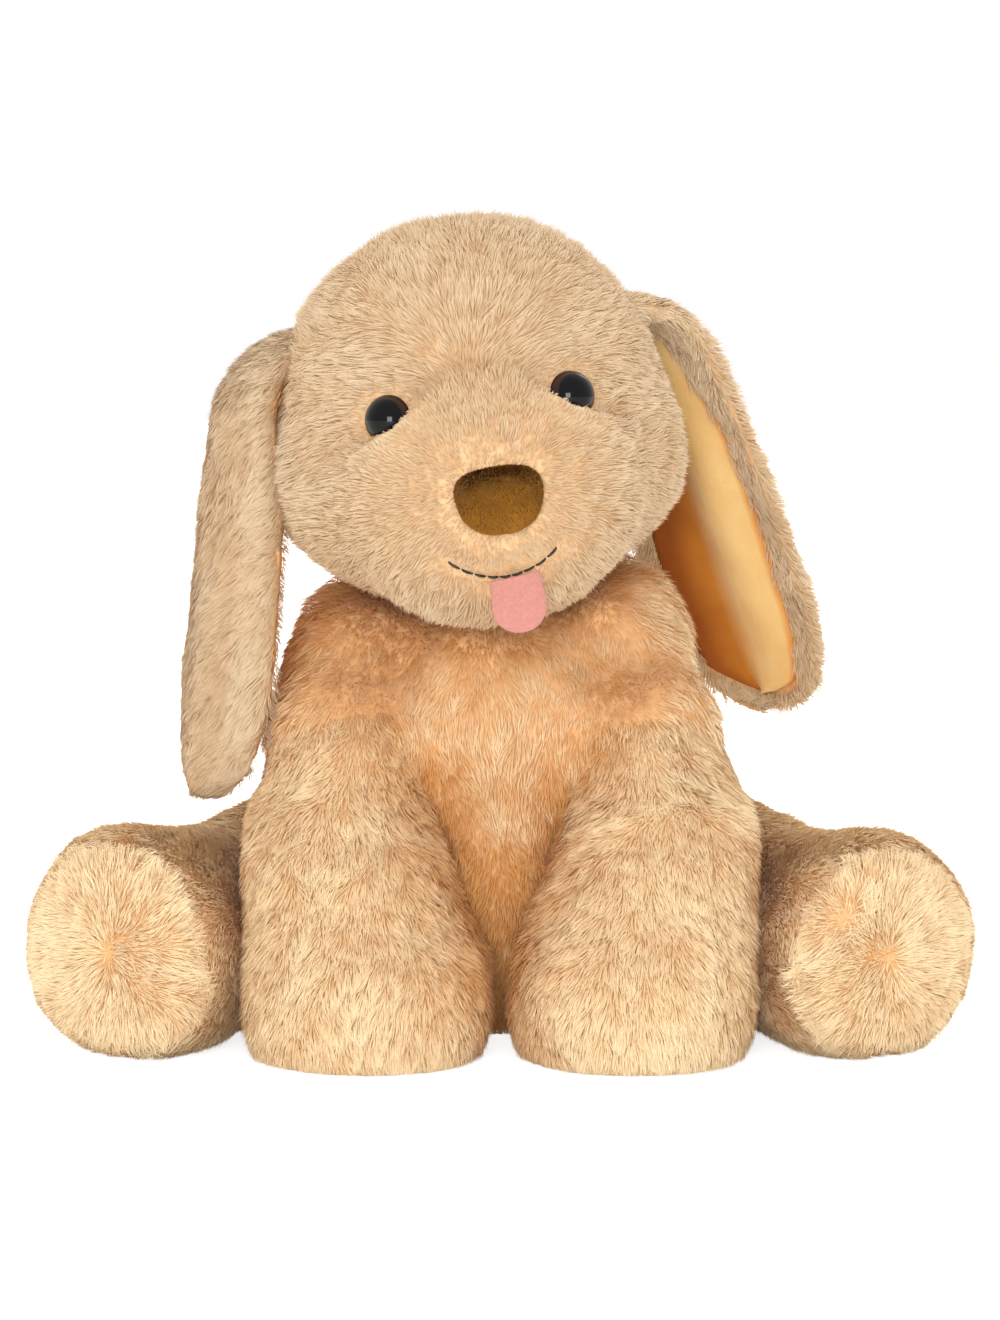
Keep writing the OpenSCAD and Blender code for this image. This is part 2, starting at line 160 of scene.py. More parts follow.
# %% Floor and light
FLOOR_GLOW = 0.8
FLOOR_HALF = 6.0
WORLD_LIGHT = 0.95
LAMP_AIM = Vector((0, 0, 0.12))
WHITE = (1, 1, 1, 1)


def seen_directly(tree):
    """1 for a ray from the camera, or one that a glossy or clear surface sends on."""
    path = add_node(tree, "ShaderNodeLightPath").outputs
    first = add_node(tree, "ShaderNodeMath", {"operation": "MAXIMUM"},
                     links={0: path["Is Camera Ray"], 1: path["Is Glossy Ray"]})
    both = add_node(tree, "ShaderNodeMath", {"operation": "MAXIMUM"},
                    links={0: first.outputs[0], 1: path["Is Transmission Ray"]})
    return both.outputs[0]


def floor_material():
    """White studio paper: diffuse, so that it keeps the shadow, lifted towards white where it is seen."""
    material, tree = new_material("white_studio_paper")
    paper = add_node(tree, "ShaderNodeBsdfDiffuse", inputs={"Color": linear("#FDFCFB")})
    glow = add_node(tree, "ShaderNodeEmission", inputs={"Color": WHITE, "Strength": FLOOR_GLOW})
    both = add_node(tree, "ShaderNodeAddShader", links={0: paper.outputs[0], 1: glow.outputs[0]})
    pick = add_node(tree, "ShaderNodeMixShader",
                    links={0: seen_directly(tree), 1: paper.outputs[0], 2: both.outputs[0]})
    add_node(tree, "ShaderNodeOutputMaterial", links={"Surface": pick.outputs[0]})
    return material


def studio_world():
    """Soft light from all round, and plain white behind the toy."""
    world = bpy.data.worlds.new("studio")
    world.use_nodes = True
    tree = world.node_tree
    tree.nodes.clear()
    light = add_node(tree, "ShaderNodeBackground", inputs={"Color": linear("#FFFBF6"), "Strength": WORLD_LIGHT})
    white = add_node(tree, "ShaderNodeBackground", inputs={"Color": WHITE, "Strength": 1.0})
    pick = add_node(tree, "ShaderNodeMixShader",
                    links={0: seen_directly(tree), 1: light.outputs[0], 2: white.outputs[0]})
    add_node(tree, "ShaderNodeOutputWorld", links={"Surface": pick.outputs[0]})
    scene.world = world


def soft_box(name, place, size, power):
    """A square lamp that looks at the toy."""
    data = bpy.data.lights.new(name, "AREA")
    data.size = size
    data.energy = power
    lamp = put_object(name, data)
    lamp.location = place
    lamp.rotation_euler = (LAMP_AIM - Vector(place)).to_track_quat("-Z", "Y").to_euler()


floor_mesh = bpy.data.meshes.new("floor")
floor_corners = [(x * FLOOR_HALF, y * FLOOR_HALF, 0) for x, y in ((-1, -1), (1, -1), (1, 1), (-1, 1))]
floor_mesh.from_pydata(floor_corners, [], [(0, 1, 2, 3)])
floor_mesh.materials.append(floor_material())
floor = put_object("floor", floor_mesh)
studio_world()
soft_box("key", (-0.12, -1.9, 0.40), 0.68, 20.5)
soft_box("back", (0.4, 1.9, 1.1), 1.4, 16)


# %% [markdown]
# ## Meshes from whole arrays
# Every new piece is a set of arrays: places in millimetres, corners of faces, and for the pile a UV map.
# One function puts them into a mesh. The UV map of a strand holds two facts, its tone across and the way
# from root to tip along, and the pile's material reads its colour from those.

# %% Array helpers
def new_piece(name, points, faces, material, uv=None, uv_name="OFBake", weld=False):
    """A mesh object at the origin from places in millimetres and faces with equal corner counts. Welding
    merges the points that meet at a pole or a seam."""
    count, corners = faces.shape
    mesh = bpy.data.meshes.new(name)
    mesh.vertices.add(len(points))
    mesh.vertices.foreach_set("co", (points * MM).astype(np.float32).ravel())
    mesh.loops.add(count * corners)
    mesh.loops.foreach_set("vertex_index", faces.astype(np.int32).ravel())
    mesh.polygons.add(count)
    mesh.polygons.foreach_set("loop_start", np.arange(count, dtype=np.int32) * corners)
    mesh.update(calc_edges=True)
    if uv is not None:
        layer = mesh.uv_layers.new(name=uv_name)
        layer.uv.foreach_set("vector", uv[faces.ravel()].astype(np.float32).ravel())
    if weld:
        shell = bmesh.new()
        shell.from_mesh(mesh)
        bmesh.ops.remove_doubles(shell, verts=shell.verts, dist=1e-6)
        bmesh.ops.recalc_face_normals(shell, faces=shell.faces)
        shell.to_mesh(mesh)
        shell.free()
    mesh.shade_smooth()
    mesh.materials.append(material)
    return put_object(name, mesh)


def read_rows(rows, name, width, kind):
    """One property of a mesh's rows, as an array with so many columns."""
    flat = np.empty(len(rows) * width, kind)
    rows.foreach_get(name, flat)
    return flat.reshape(-1, width)


def places_of(mesh):
    """Vertex places of a mesh in millimetres."""
    return read_rows(mesh.vertices, "co", 3, np.float32).astype(float) / MM


def edges_of(mesh):
    """Pairs of vertices."""
    return read_rows(mesh.edges, "vertices", 2, np.int32)


def arrays_of(mesh):
    """Vertex places in millimetres and triangle corners of a mesh."""
    mesh.calc_loop_triangles()
    return places_of(mesh), read_rows(mesh.loop_triangles, "vertices", 3, np.int32)


def put_places(mesh, points):
    """Moves the vertices of a mesh to places in millimetres."""
    mesh.vertices.foreach_set("co", (points * MM).astype(np.float32).ravel())
    mesh.update()


def paint(mesh, material):
    """Gives a mesh one material."""
    mesh.materials.clear()
    mesh.materials.append(material)


def unit(v):
    """Vectors made one long."""
    return v / np.maximum(np.linalg.norm(v, axis=-1, keepdims=True), 1e-9)


def rise(x, low, high):
    """From 0 at low to 1 at high, smoothly."""
    t = np.clip((x - low) / (high - low), 0, 1)
    return t * t * (3 - 2 * t)


def vertex_normals(points, triangles):
    """Each vertex's outward direction: the sum of its triangles' area vectors."""
    a, b, c = (points[triangles[:, i]] for i in range(3))
    face = np.cross(b - a, c - a)
    total = np.zeros_like(points)
    for i in range(3):
        np.add.at(total, triangles[:, i], face)
    return unit(total)


def round_angles(count):
    """Angles evenly spaced round a loop."""
    return np.linspace(0, 2 * math.pi, count, endpoint=False)


def loop_faces(rows, columns):
    """Quads of a grid of points, row by row, whose last column joins its first."""
    i, j = np.meshgrid(np.arange(rows - 1), np.arange(columns), indexing="ij")
    k = (j + 1) % columns
    corners = [i * columns + j, i * columns + k, (i + 1) * columns + k, (i + 1) * columns + j]
    return np.stack(corners, -1).reshape(-1, 4)


def waves(points, size, seed, count=28):
    """A smooth random field and its slope: a sum of sines whose wavelengths are about size millimetres."""
    rng = np.random.default_rng(seed)
    way = unit(rng.normal(size=(count, 3))) * (2 * math.pi / size) * rng.uniform(0.6, 1.5, (count, 1))
    angle = points @ way.T + rng.uniform(0, 2 * math.pi, count)
    share = math.sqrt(2 / count)
    return np.sin(angle).sum(1) * share, (np.cos(angle) @ way) * share


# %% [markdown]
# ## Pile plush
# The cover is a knitted backing with cut polyester pile. Single strands are fine and matt, so the coat looks
# pale at the tips and warmer and darker in the partings. The colour comes from two ramps, mixed by the strand's
# tone: one of painted shade, for a strand in a parting and where other pieces shade it, and one for a strand in
# full light on top of a tuft. Both ramps darken towards the root, as painted shade low in the pile.

# %% Pile materials
def pile_material(name, in_shade, high, sheen=0.12):
    """Cut polyester pile: matt with a soft sheen. The first three codes are the root, middle and tip colours of a
    ramp of painted shade, the pile as it looks in shade. The second three are the pile in full light. Both ramps
    are darker at the root, as painted shade low in the pile.
    """
    material, tree = new_material(name)
    parts = uv_parts(tree, "OFBake")
    low, top = (colour_ramp(tree, parts["Y"], list(zip((0.0, 0.45, 1.0), codes))) for codes in (in_shade, high))
    colour = add_node(tree, "ShaderNodeMix", {"data_type": "RGBA"}, links={"Factor": parts["X"], 6: low, 7: top})
    put_surface(tree, colour.outputs[2], {"Roughness": 0.72, "IOR": 1.5, "Specular IOR Level": 0.2,
                                          "Sheen Weight": sheen, "Sheen Roughness": 0.5})
    return material


def backing_material(name, pale, dark):
    """Knitted backing under the pile: matt, mottled by the roots. The mottling is 3 mm wide."""
    return mottled(name, ((0.3, dark), (0.7, pale)), {"Scale": 330.0, "Detail": 4.0},
                   {"Strength": 0.6, "Distance": 1.0 * MM},
                   {"Roughness": 0.9, "Specular IOR Level": 0.15, "Sheen Weight": 0.2})


# For each pile, the first three codes are painted shade (the pile as it looks in shade) and the last three are the
# pile in full light.
BODY_PILE = pile_material("pile_plush_body",
                          ("#C87C34", "#D68F46", "#E4AA68"), ("#FACA8A", "#FFE2B0", "#FFEECB"))
HEAD_PILE = pile_material("pile_plush_head",
                          ("#BF8C56", "#CB9F6E", "#D4B088"), ("#DBB688", "#E2C69E", "#E9D4B6"))
BODY_BACKING = backing_material("knitted_backing_body", "#F3CA96", "#E6B074")
HEAD_BACKING = backing_material("knitted_backing_head", "#F0CCA0", "#E3B684")


# %% [markdown]
# ## Stuffed skins
# A stuffed piece has no flat faces: the filling pushes the cloth outwards until its seams pull tight.
# So the outside of each CAD cover is copied, rebuilt as even small quads, and blown up a little by a cloth
# simulation with pressure in it. The torso also takes in a pad at each shoulder and hip, because on the
# real toy the cloth of the trunk runs over the top of each leg without a step.

# %% Outer skins
SHOULDER = np.array([49.0, -17.0, 98.0])
HIP = np.array([65.0, 45.0, 38.0])
PAW = np.array([41.0, -55.0, 27.0])
HIND_ANGLE = math.radians(33.5)
HIND_WAY = np.array([math.sin(HIND_ANGLE), -math.cos(HIND_ANGLE), 0.0])
TOE = HIP + HIND_WAY * 92 + np.array([0, 0, -3.0])
TAIL_ROOT = np.array([0.0, 75.0, 22.0])
VOXEL = 4.0 * MM


def mirrored(point, side):
    """A place on the dog's left, or its mirror image on the right."""
    return np.array(point) * np.array([side, 1, 1])


def mesh_of(shell, name):
    """A finished bmesh as a mesh."""
    mesh = bpy.data.meshes.new(name)
    shell.to_mesh(mesh)
    shell.free()
    return mesh


def outer_faces(node, low, high):
    """A closed copy of a CAD cover's faces that look away from the line from low to high, in mm."""
    shell = bmesh.new()
    shell.from_mesh(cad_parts[node].data)
    bmesh.ops.remove_doubles(shell, verts=shell.verts, dist=1e-5)
    low, high = Vector(low) * MM, Vector(high) * MM
    line = high - low
    inner = []
    for face in shell.faces:
        offset = face.calc_center_median() - low
        share = 0.0 if line.length < 1e-6 else min(max(offset.dot(line) / line.length_squared, 0), 1)
        if (offset - line * share).dot(face.normal) < 0:
            inner.append(face)
    bmesh.ops.delete(shell, geom=inner, context="FACES")
    bmesh.ops.holes_fill(shell, edges=shell.edges, sides=0)
    return mesh_of(shell, node + "_copy")


def joined(meshes):
    """Several meshes as one."""
    shell = bmesh.new()
    for mesh in meshes:
        shell.from_mesh(mesh)
    return mesh_of(shell, "joined")


def remeshed(name, mesh):
    """The mesh rebuilt as even quads, one voxel wide, which also fuses whatever overlaps in it."""
    rough = put_object("rough", mesh)
    remesh = rough.modifiers.new("remesh", "REMESH")
    remesh.mode = "VOXEL"
    remesh.voxel_size = VOXEL
    even = bpy.data.meshes.new_from_object(rough.evaluated_get(bpy.context.evaluated_depsgraph_get()))
    bpy.data.objects.remove(rough)
    even.name = name
    return even


def pushed(mesh, amount):
    """The mesh with every vertex moved outwards by an amount in millimetres."""
    points, triangles = arrays_of(mesh)
    put_places(mesh, points + vertex_normals(points, triangles) * amount)
    return mesh


def relaxed(points, edges, times, back=0.52):
    """Each point moves towards the mean of its neighbours and then a little further back, several times.
    That takes out the facets and keeps the volume."""
    count = np.zeros(len(points))
    np.add.at(count, edges.ravel(), 1)
    for step in [0.5, -back] * times:
        total = np.zeros_like(points)
        np.add.at(total, edges[:, 0], points[edges[:, 1]])
        np.add.at(total, edges[:, 1], points[edges[:, 0]])
        points = points + (total / count[:, None] - points) * step
    return points


def ball(place, radius):
    """A round pad, which the remesh fuses with what it touches."""
    pad = bmesh.new()
    bmesh.ops.create_uvsphere(pad, u_segments=32, v_segments=20, radius=radius * MM,
                              matrix=Matrix.Translation(Vector(place) * MM))
    return mesh_of(pad, "pad")


def narrowed(mesh, side):
    """A front leg drawn in by up to 3 mm towards its top, where the trunk holds it."""
    points = places_of(mesh)
    points[:, 0] -= side * 3.0 * rise(points[:, 2], 50, 100)
    put_places(mesh, points)
    return mesh


TORSO_SEAT = (0, 16, 68)
HEAD_MIDDLE = (-11.0, -22.0, 186.0)
FILLET = 13.0
TORSO_GROWTH = 0.6
HIP_PAD = (HIP + [-3, 0, 1], 32)
SHOULDER_PADS = {1: [((46.5, -17, 98), 25.5), ((40, -5, 112), 23), ((34, -14, 129.5), 13)],
                 -1: [((-47, -17, 98), 25.5), ((-43, -5, 114), 25.5)]}
MESHES = {"head": remeshed("head_skin", outer_faces("head_cover", HEAD_MIDDLE, HEAD_MIDDLE)),
          "tail": remeshed("tail_skin", outer_faces("tail_cover", TAIL_ROOT, TAIL_ROOT + [0, 10, 28]))}
trunk = [outer_faces("torso_cover", TORSO_SEAT, TORSO_SEAT)]
for side, hand in HANDS:
    leg = "front_leg_" + hand
    cover = outer_faces(leg + "_cover", mirrored(PAW, side), mirrored(SHOULDER, side))
    MESHES[leg] = narrowed(remeshed(leg + "_skin", cover), side)
    leg = "hind_leg_" + hand
    cover = outer_faces(leg + "_cover", mirrored(HIP, side), mirrored(TOE, side))
    MESHES[leg] = remeshed(leg + "_skin", cover)
    trunk += [ball(*pad) for pad in SHOULDER_PADS[side]]
    trunk.append(ball(mirrored(HIP_PAD[0], side), HIP_PAD[1]))
closed_up = remeshed("wide", pushed(remeshed("trunk", joined(trunk)), FILLET))
MESHES["torso"] = remeshed("torso_skin", pushed(closed_up, TORSO_GROWTH - FILLET))
SKINS = {name: put_object(name + "_skin", mesh) for name, mesh in MESHES.items()}
print("skins:", {name: len(skin.data.polygons) for name, skin in SKINS.items()})


# %% Blow up and relax
CAP = 1.6
FLOOR_LEVEL = 0.3
CLOTH_FRAMES = 20
CLOTH_PRESSURE = 4


def above_floor(points):
    """Places lifted to just above the floor."""
    return np.stack([points[:, 0], points[:, 1], np.maximum(points[:, 2], FLOOR_LEVEL)], 1)


def stuff(skins):
    """Runs all the cloth together, keeps each point within the cap of where it began, and relaxes the facets."""
    before = {}
    for name, skin in skins.items():
        edges = edges_of(skin.data)
        start = above_floor(relaxed(places_of(skin.data), edges, 5))
        put_places(skin.data, start)
        before[name] = (start, edges)
        cloth = skin.modifiers.new("cloth", "CLOTH")
        cloth.settings.use_pressure = True
        cloth.settings.uniform_pressure_force = CLOTH_PRESSURE
        cloth.settings.effector_weights.gravity = 0
        cloth.point_cache.frame_start = 1
        cloth.point_cache.frame_end = CLOTH_FRAMES
    for number in range(1, CLOTH_FRAMES + 1):
        scene.frame_set(number)
    graph = bpy.context.evaluated_depsgraph_get()
    for name, skin in skins.items():
        start, edges = before[name]
        move = places_of(skin.evaluated_get(graph).data) - start
        skin.modifiers.clear()
        size = np.linalg.norm(move, axis=1, keepdims=True)
        capped = start + move * np.minimum(1, CAP / np.maximum(size, 1e-9))
        put_places(skin.data, above_floor(relaxed(capped, edges, 3)))
        print(name, "moved by up to", round(float(size.max()), 1), "mm")
    scene.frame_set(1)


stuff(SKINS)

# %% [markdown]
# ## Arms and feet
# On the toy the slope from chest to paw is even, the left shoulder is drawn in because the toy leans that way,
# and the hind feet look to the front, flat on the floor and with soft rims.

# %% Arms and feet
FOOT_TURN = 0.42
FOOT_SPREAD = 6.0
TOE_SWELL = 2.6
HIND_SIDE = np.array([-math.cos(HIND_ANGLE), -math.sin(HIND_ANGLE), 0.0])
FOOT_DROP = {"left": 3.4, "right": 2.0}


def fuller_arm(p):
    """Carries the front of the upper arm forwards by up to 6.5 mm, and draws the left shoulder in by 4.5 mm."""
    x, y, z = p.T
    level = rise(z, 68, 86) * (1 - rise(z, 98, 124))
    forward = level * np.exp(-((np.abs(x) - 46) / 20) ** 2) * rise(-y, 22, 40)
    inward = rise(z, 84, 98) * (1 - rise(z, 112, 128)) * rise(x, 40, 62)
    return p - np.stack([4.5 * inward, 6.5 * forward, 0 * z], 1)


for name in ("torso", "front_leg_left", "front_leg_right"):
    put_places(SKINS[name].data, fuller_arm(places_of(SKINS[name].data)))
for side, hand in HANDS:
    foot = SKINS["hind_leg_" + hand].data
    points, triangles = arrays_of(foot)
    spread = vertex_normals(points, triangles) * np.array([1.0, 1.0, 0.0])
    points = points + spread * FOOT_SPREAD * (1 - rise(points[:, 2:], 3, 28))
    points[:, 2] -= FOOT_DROP[hand] * rise(points[:, 2], 30, 62) * rise(-points[:, 1], -20, 20)
    offset = (points - mirrored(HIP, side)) * np.array([side, 1, 1])
    points[:, 1] -= FOOT_TURN * np.maximum(offset @ HIND_SIDE + 20, 0) * rise(offset @ HIND_WAY, 45, 92)
    toes = rise(offset @ HIND_WAY, 62, 88)[:, None]
    points = points + (relaxed(points, edges_of(foot), 24, 0.0) - points) * toes
    points = points + vertex_normals(points, triangles) * TOE_SWELL * toes
    put_places(foot, above_floor(points))
tail = SKINS["tail"].data
put_places(tail, relaxed(places_of(tail), edges_of(tail), 30))
for name, skin in SKINS.items():
    paint(skin.data, HEAD_BACKING if name == "head" else BODY_BACKING)
    skin.data.shade_smooth()


# %% [markdown]
# ## The head's front in numbers
# The eyes, nose, mouth and ears sit on the head, so their places are worked out from the same three round
# lumps that make the head: cranium, cheeks and muzzle. A ray from inside the head meets each lump, and a
# high power mean of the distances joins the lumps smoothly.

# %% Head surface
HEAD_LUMPS = [((0, 0, 0), (59, 57, 58)), ((0, -14, -19.72), (63, 50, 40)), ((0, -46, -30), (42, 36, 35))]
LUMP_POWER = 14
HEAD_SEAT = np.array([0.0, -20.0, -14.0])
HEAD_AT = np.array([-9.574, -1.981, 200.609])
HEAD_TURN, HEAD_TILT = math.radians(3.5), math.radians(7.5)
FACE_DEPTH = 62.0


def head_way(v):
    """A direction in the head's own frame, turned about the vertical and then tilted to the side."""
    v = np.asarray(v, float)
    x = v[..., 0] * math.cos(HEAD_TURN) - v[..., 1] * math.sin(HEAD_TURN)
    y = v[..., 0] * math.sin(HEAD_TURN) + v[..., 1] * math.cos(HEAD_TURN)
    z = v[..., 2]
    return np.stack([x * math.cos(HEAD_TILT) - z * math.sin(HEAD_TILT), y,
                     z * math.cos(HEAD_TILT) + x * math.sin(HEAD_TILT)], -1)


def head_reach(d):
    """Distance from the head's seat to its surface along local directions d."""
    total = 0
    for middle, radii in HEAD_LUMPS:
        o = (HEAD_SEAT - np.array(middle)) / np.array(radii)
        v = d / np.array(radii)
        b = v @ o
        vv = (v * v).sum(-1)
        total = total + ((np.sqrt(b * b - vv * (o @ o - 1)) - b) / vv) ** LUMP_POWER
    return total ** (1 / LUMP_POWER)


def head_point(d, h):
    """Place on the head along local directions d, raised by h."""
    return HEAD_AT + head_way(HEAD_SEAT + d * (head_reach(d) + h)[..., None])


def face_way(u, v):
    """Local direction for a place u across and v up on the face."""
    return unit(np.stack(np.broadcast_arrays(u, -FACE_DEPTH, v), -1).astype(float))


EYE_LIFT = 4.3
EYE_OUT = 26.252


def eye_place(side):
    """Middle of an eye's base and the way the eye looks."""
    d = unit(np.array([side * EYE_OUT, -36.0, 13.5]))
    return head_point(d, np.array(EYE_LIFT)), head_way(unit(np.array([side * 0.42, -1.0, 0.2])))


EYES = [eye_place(1), eye_place(-1)]
EYE_BASES = np.array([e[0] for e in EYES])
NOSE_UP, MOUTH_UP = -12.5, -32.9
NOSE_TIP = head_point(face_way(0.0, NOSE_UP), np.array(9.0))
NOSE_BASE = head_point(face_way(0.0, NOSE_UP), np.array(1.0))
TONGUE_TOP = np.array([4.50, -79.93, 151.85])
print("eyes at", np.round(EYE_BASES, 1).tolist(), "nose tip at", np.round(NOSE_TIP, 1).tolist())


def mouth_line(t):
    """Middle line of the stitched mouth, from 0 to 1: a shallow bow on the muzzle."""
    bow = 1 - (2 * t - 1) ** 2
    return 37.2 * (t - 0.5), MOUTH_UP - 8 * bow


def from_nose(p):
    """Distance from the middle of the nose's base."""
    return np.linalg.norm(p - NOSE_BASE, axis=1)


# %% [markdown]
# ## Muzzle and lower lids
# The muzzle is a panel of its own. Its upper seam runs from eye to eye over the bridge of the nose, and the
# filling pushes the panel up along that seam, so that it stands up against the lower inner part of each eye.

# %% Muzzle cushion
HEAD_AXES = head_way(np.eye(3))
CUSHION_HEIGHT, LID_HEIGHT = 3.0, 2.2


def above_seam(p):
    """Height over the muzzle's upper seam, which is a roof with a round ridge, and how far it shows in front."""
    x, y, z = ((p - HEAD_AT) @ HEAD_AXES.T).T
    seam = 15.0 - 0.575 * np.sqrt(x * x + 25)
    return z - seam, rise(-y, 18, 40) * (1 - rise(np.abs(x), 36, 54))


def lid(p):
    """1 on the lower inner side of each eye, where the muzzle stands up against it."""
    total = np.zeros(len(p))
    for side, eye in zip((1, -1), EYE_BASES):
        toward = head_way(np.array([-0.5 * side, 0, -0.87]))
        offset = p - eye
        near = 1 - rise(np.linalg.norm(offset, axis=1), 11, 19)
        total = np.maximum(total, rise(offset @ toward, 2.6, 6.2) * near)
    return total


face = SKINS["head"].data
places, triangles = arrays_of(face)
above, front = above_seam(places)
raised = CUSHION_HEIGHT * (rise(-above, -1.5, 5) * (1 - rise(-above, 12, 28)) * front)
put_places(face, places + vertex_normals(places, triangles) * (raised + LID_HEIGHT * lid(places))[:, None])
print("muzzle raised by up to", round(float(raised.max()), 1), "mm")

# %% [markdown]
# ## A coat of pile
# Each strand is a thin leaf with a bend in it and a point at its tip. Roots are spread evenly over the skin.
# A flow gives the way the pile is brushed, slow waves turn and lift it, and finer waves draw the tips
# together into tufts. Strands in the valleys between tufts are darker, as painted shade in the partings, and
# strands that other pieces shade get painted shade too. Where another stuffed piece or the floor presses on the
# skin, the pile is thin and short, and it only shows when a joint moves.

# %% Pile function
PRESSED_SHARE, PRESSED_LENGTH = 0.35, 0.45
STRAY_SHARE = 0.05
LEAF_UP, LEAF_ACROSS = 0.45, 0.9


def tree_of(skin):
    """A search tree over a skin's faces, in metres."""
    return BVHTree.FromObject(skin, bpy.context.evaluated_depsgraph_get())


def covered(points, normals, others, reach):
    """True where a point that stands a little above the skin lies inside another stuffed piece."""
    hidden = np.zeros(len(points), bool)
    probe = (points + normals * reach) * MM
    for other in others:
        tree = tree_of(other)
        room = places_of(other.data) * MM
        near = np.flatnonzero(((probe > room.min(0)) & (probe < room.max(0))).all(1) & ~hidden)
        for i in near:
            place, normal, _, _ = tree.find_nearest(Vector(probe[i]))
            hidden[i] = (Vector(probe[i]) - place).dot(normal) < 0
    return hidden


def clearance(points, others):
    """Distance in millimetres from each point to the nearest of some skins."""
    far = np.full(len(points), 1e9)
    for other in others:
        tree = tree_of(other)
        far = np.minimum(far, [tree.find_nearest(Vector(p))[3] / MM for p in points * MM])
    return far


def round_row(low, high, radii):
    """Balls along a line, as (place, radius), which stand for a limb where only its shade is needed."""
    return [(low + (high - low) * i / (len(radii) - 1), r) for i, r in enumerate(radii)]


SHADERS = {"head": [(np.array([-9.6, -2, 200.6]), 58), (np.array([-6, -45, 172]), 40)],
           "torso": [(np.array([0, 17, 60.0]), 56), (np.array([-2, 9, 106.0]), 52)],
           "ear_right": [(np.array([-92, -8, 130.0]), 26), (np.array([-88, -6, 165.0]), 25)]}
for side, hand in HANDS:
    leg = round_row(mirrored(PAW, side), mirrored(SHOULDER, side), [34, 30, 26, 23])
    SHADERS["front_leg_" + hand] = leg
    SHADERS["front_paw_" + hand] = leg[:2]
    SHADERS["hind_leg_" + hand] = round_row(mirrored(HIP, side), mirrored(TOE, side), [30, 29, 31, 33])


def shade_by(others, points, normals, wrap):
    """How much of the sky the other pieces take from a point: over all balls, the squared ratio of radius to
    distance times the cosine to the skin's direction. The wrap lets shade reach skin that faces past a ball."""
    total = np.zeros(len(points))
    for other in others:
        for middle, radius in SHADERS[other]:
            way = middle - points
            far = np.maximum(np.linalg.norm(way, axis=1), radius + 2)
            total += np.clip((way * normals).sum(1) / far + wrap, 0, 1) * (radius / far) ** 2
    return np.clip(total, 0, 1.2)


def along_skin(v, n):
    """The part of each vector that lies in the skin."""
    return v - n * (v * n).sum(1, keepdims=True)


def leaning(degrees, comb, n):
    """Directions that leave the skin at an angle, along the brushed way."""
    angle = np.radians(degrees)[:, None]
    return np.cos(angle) * comb + np.sin(angle) * n


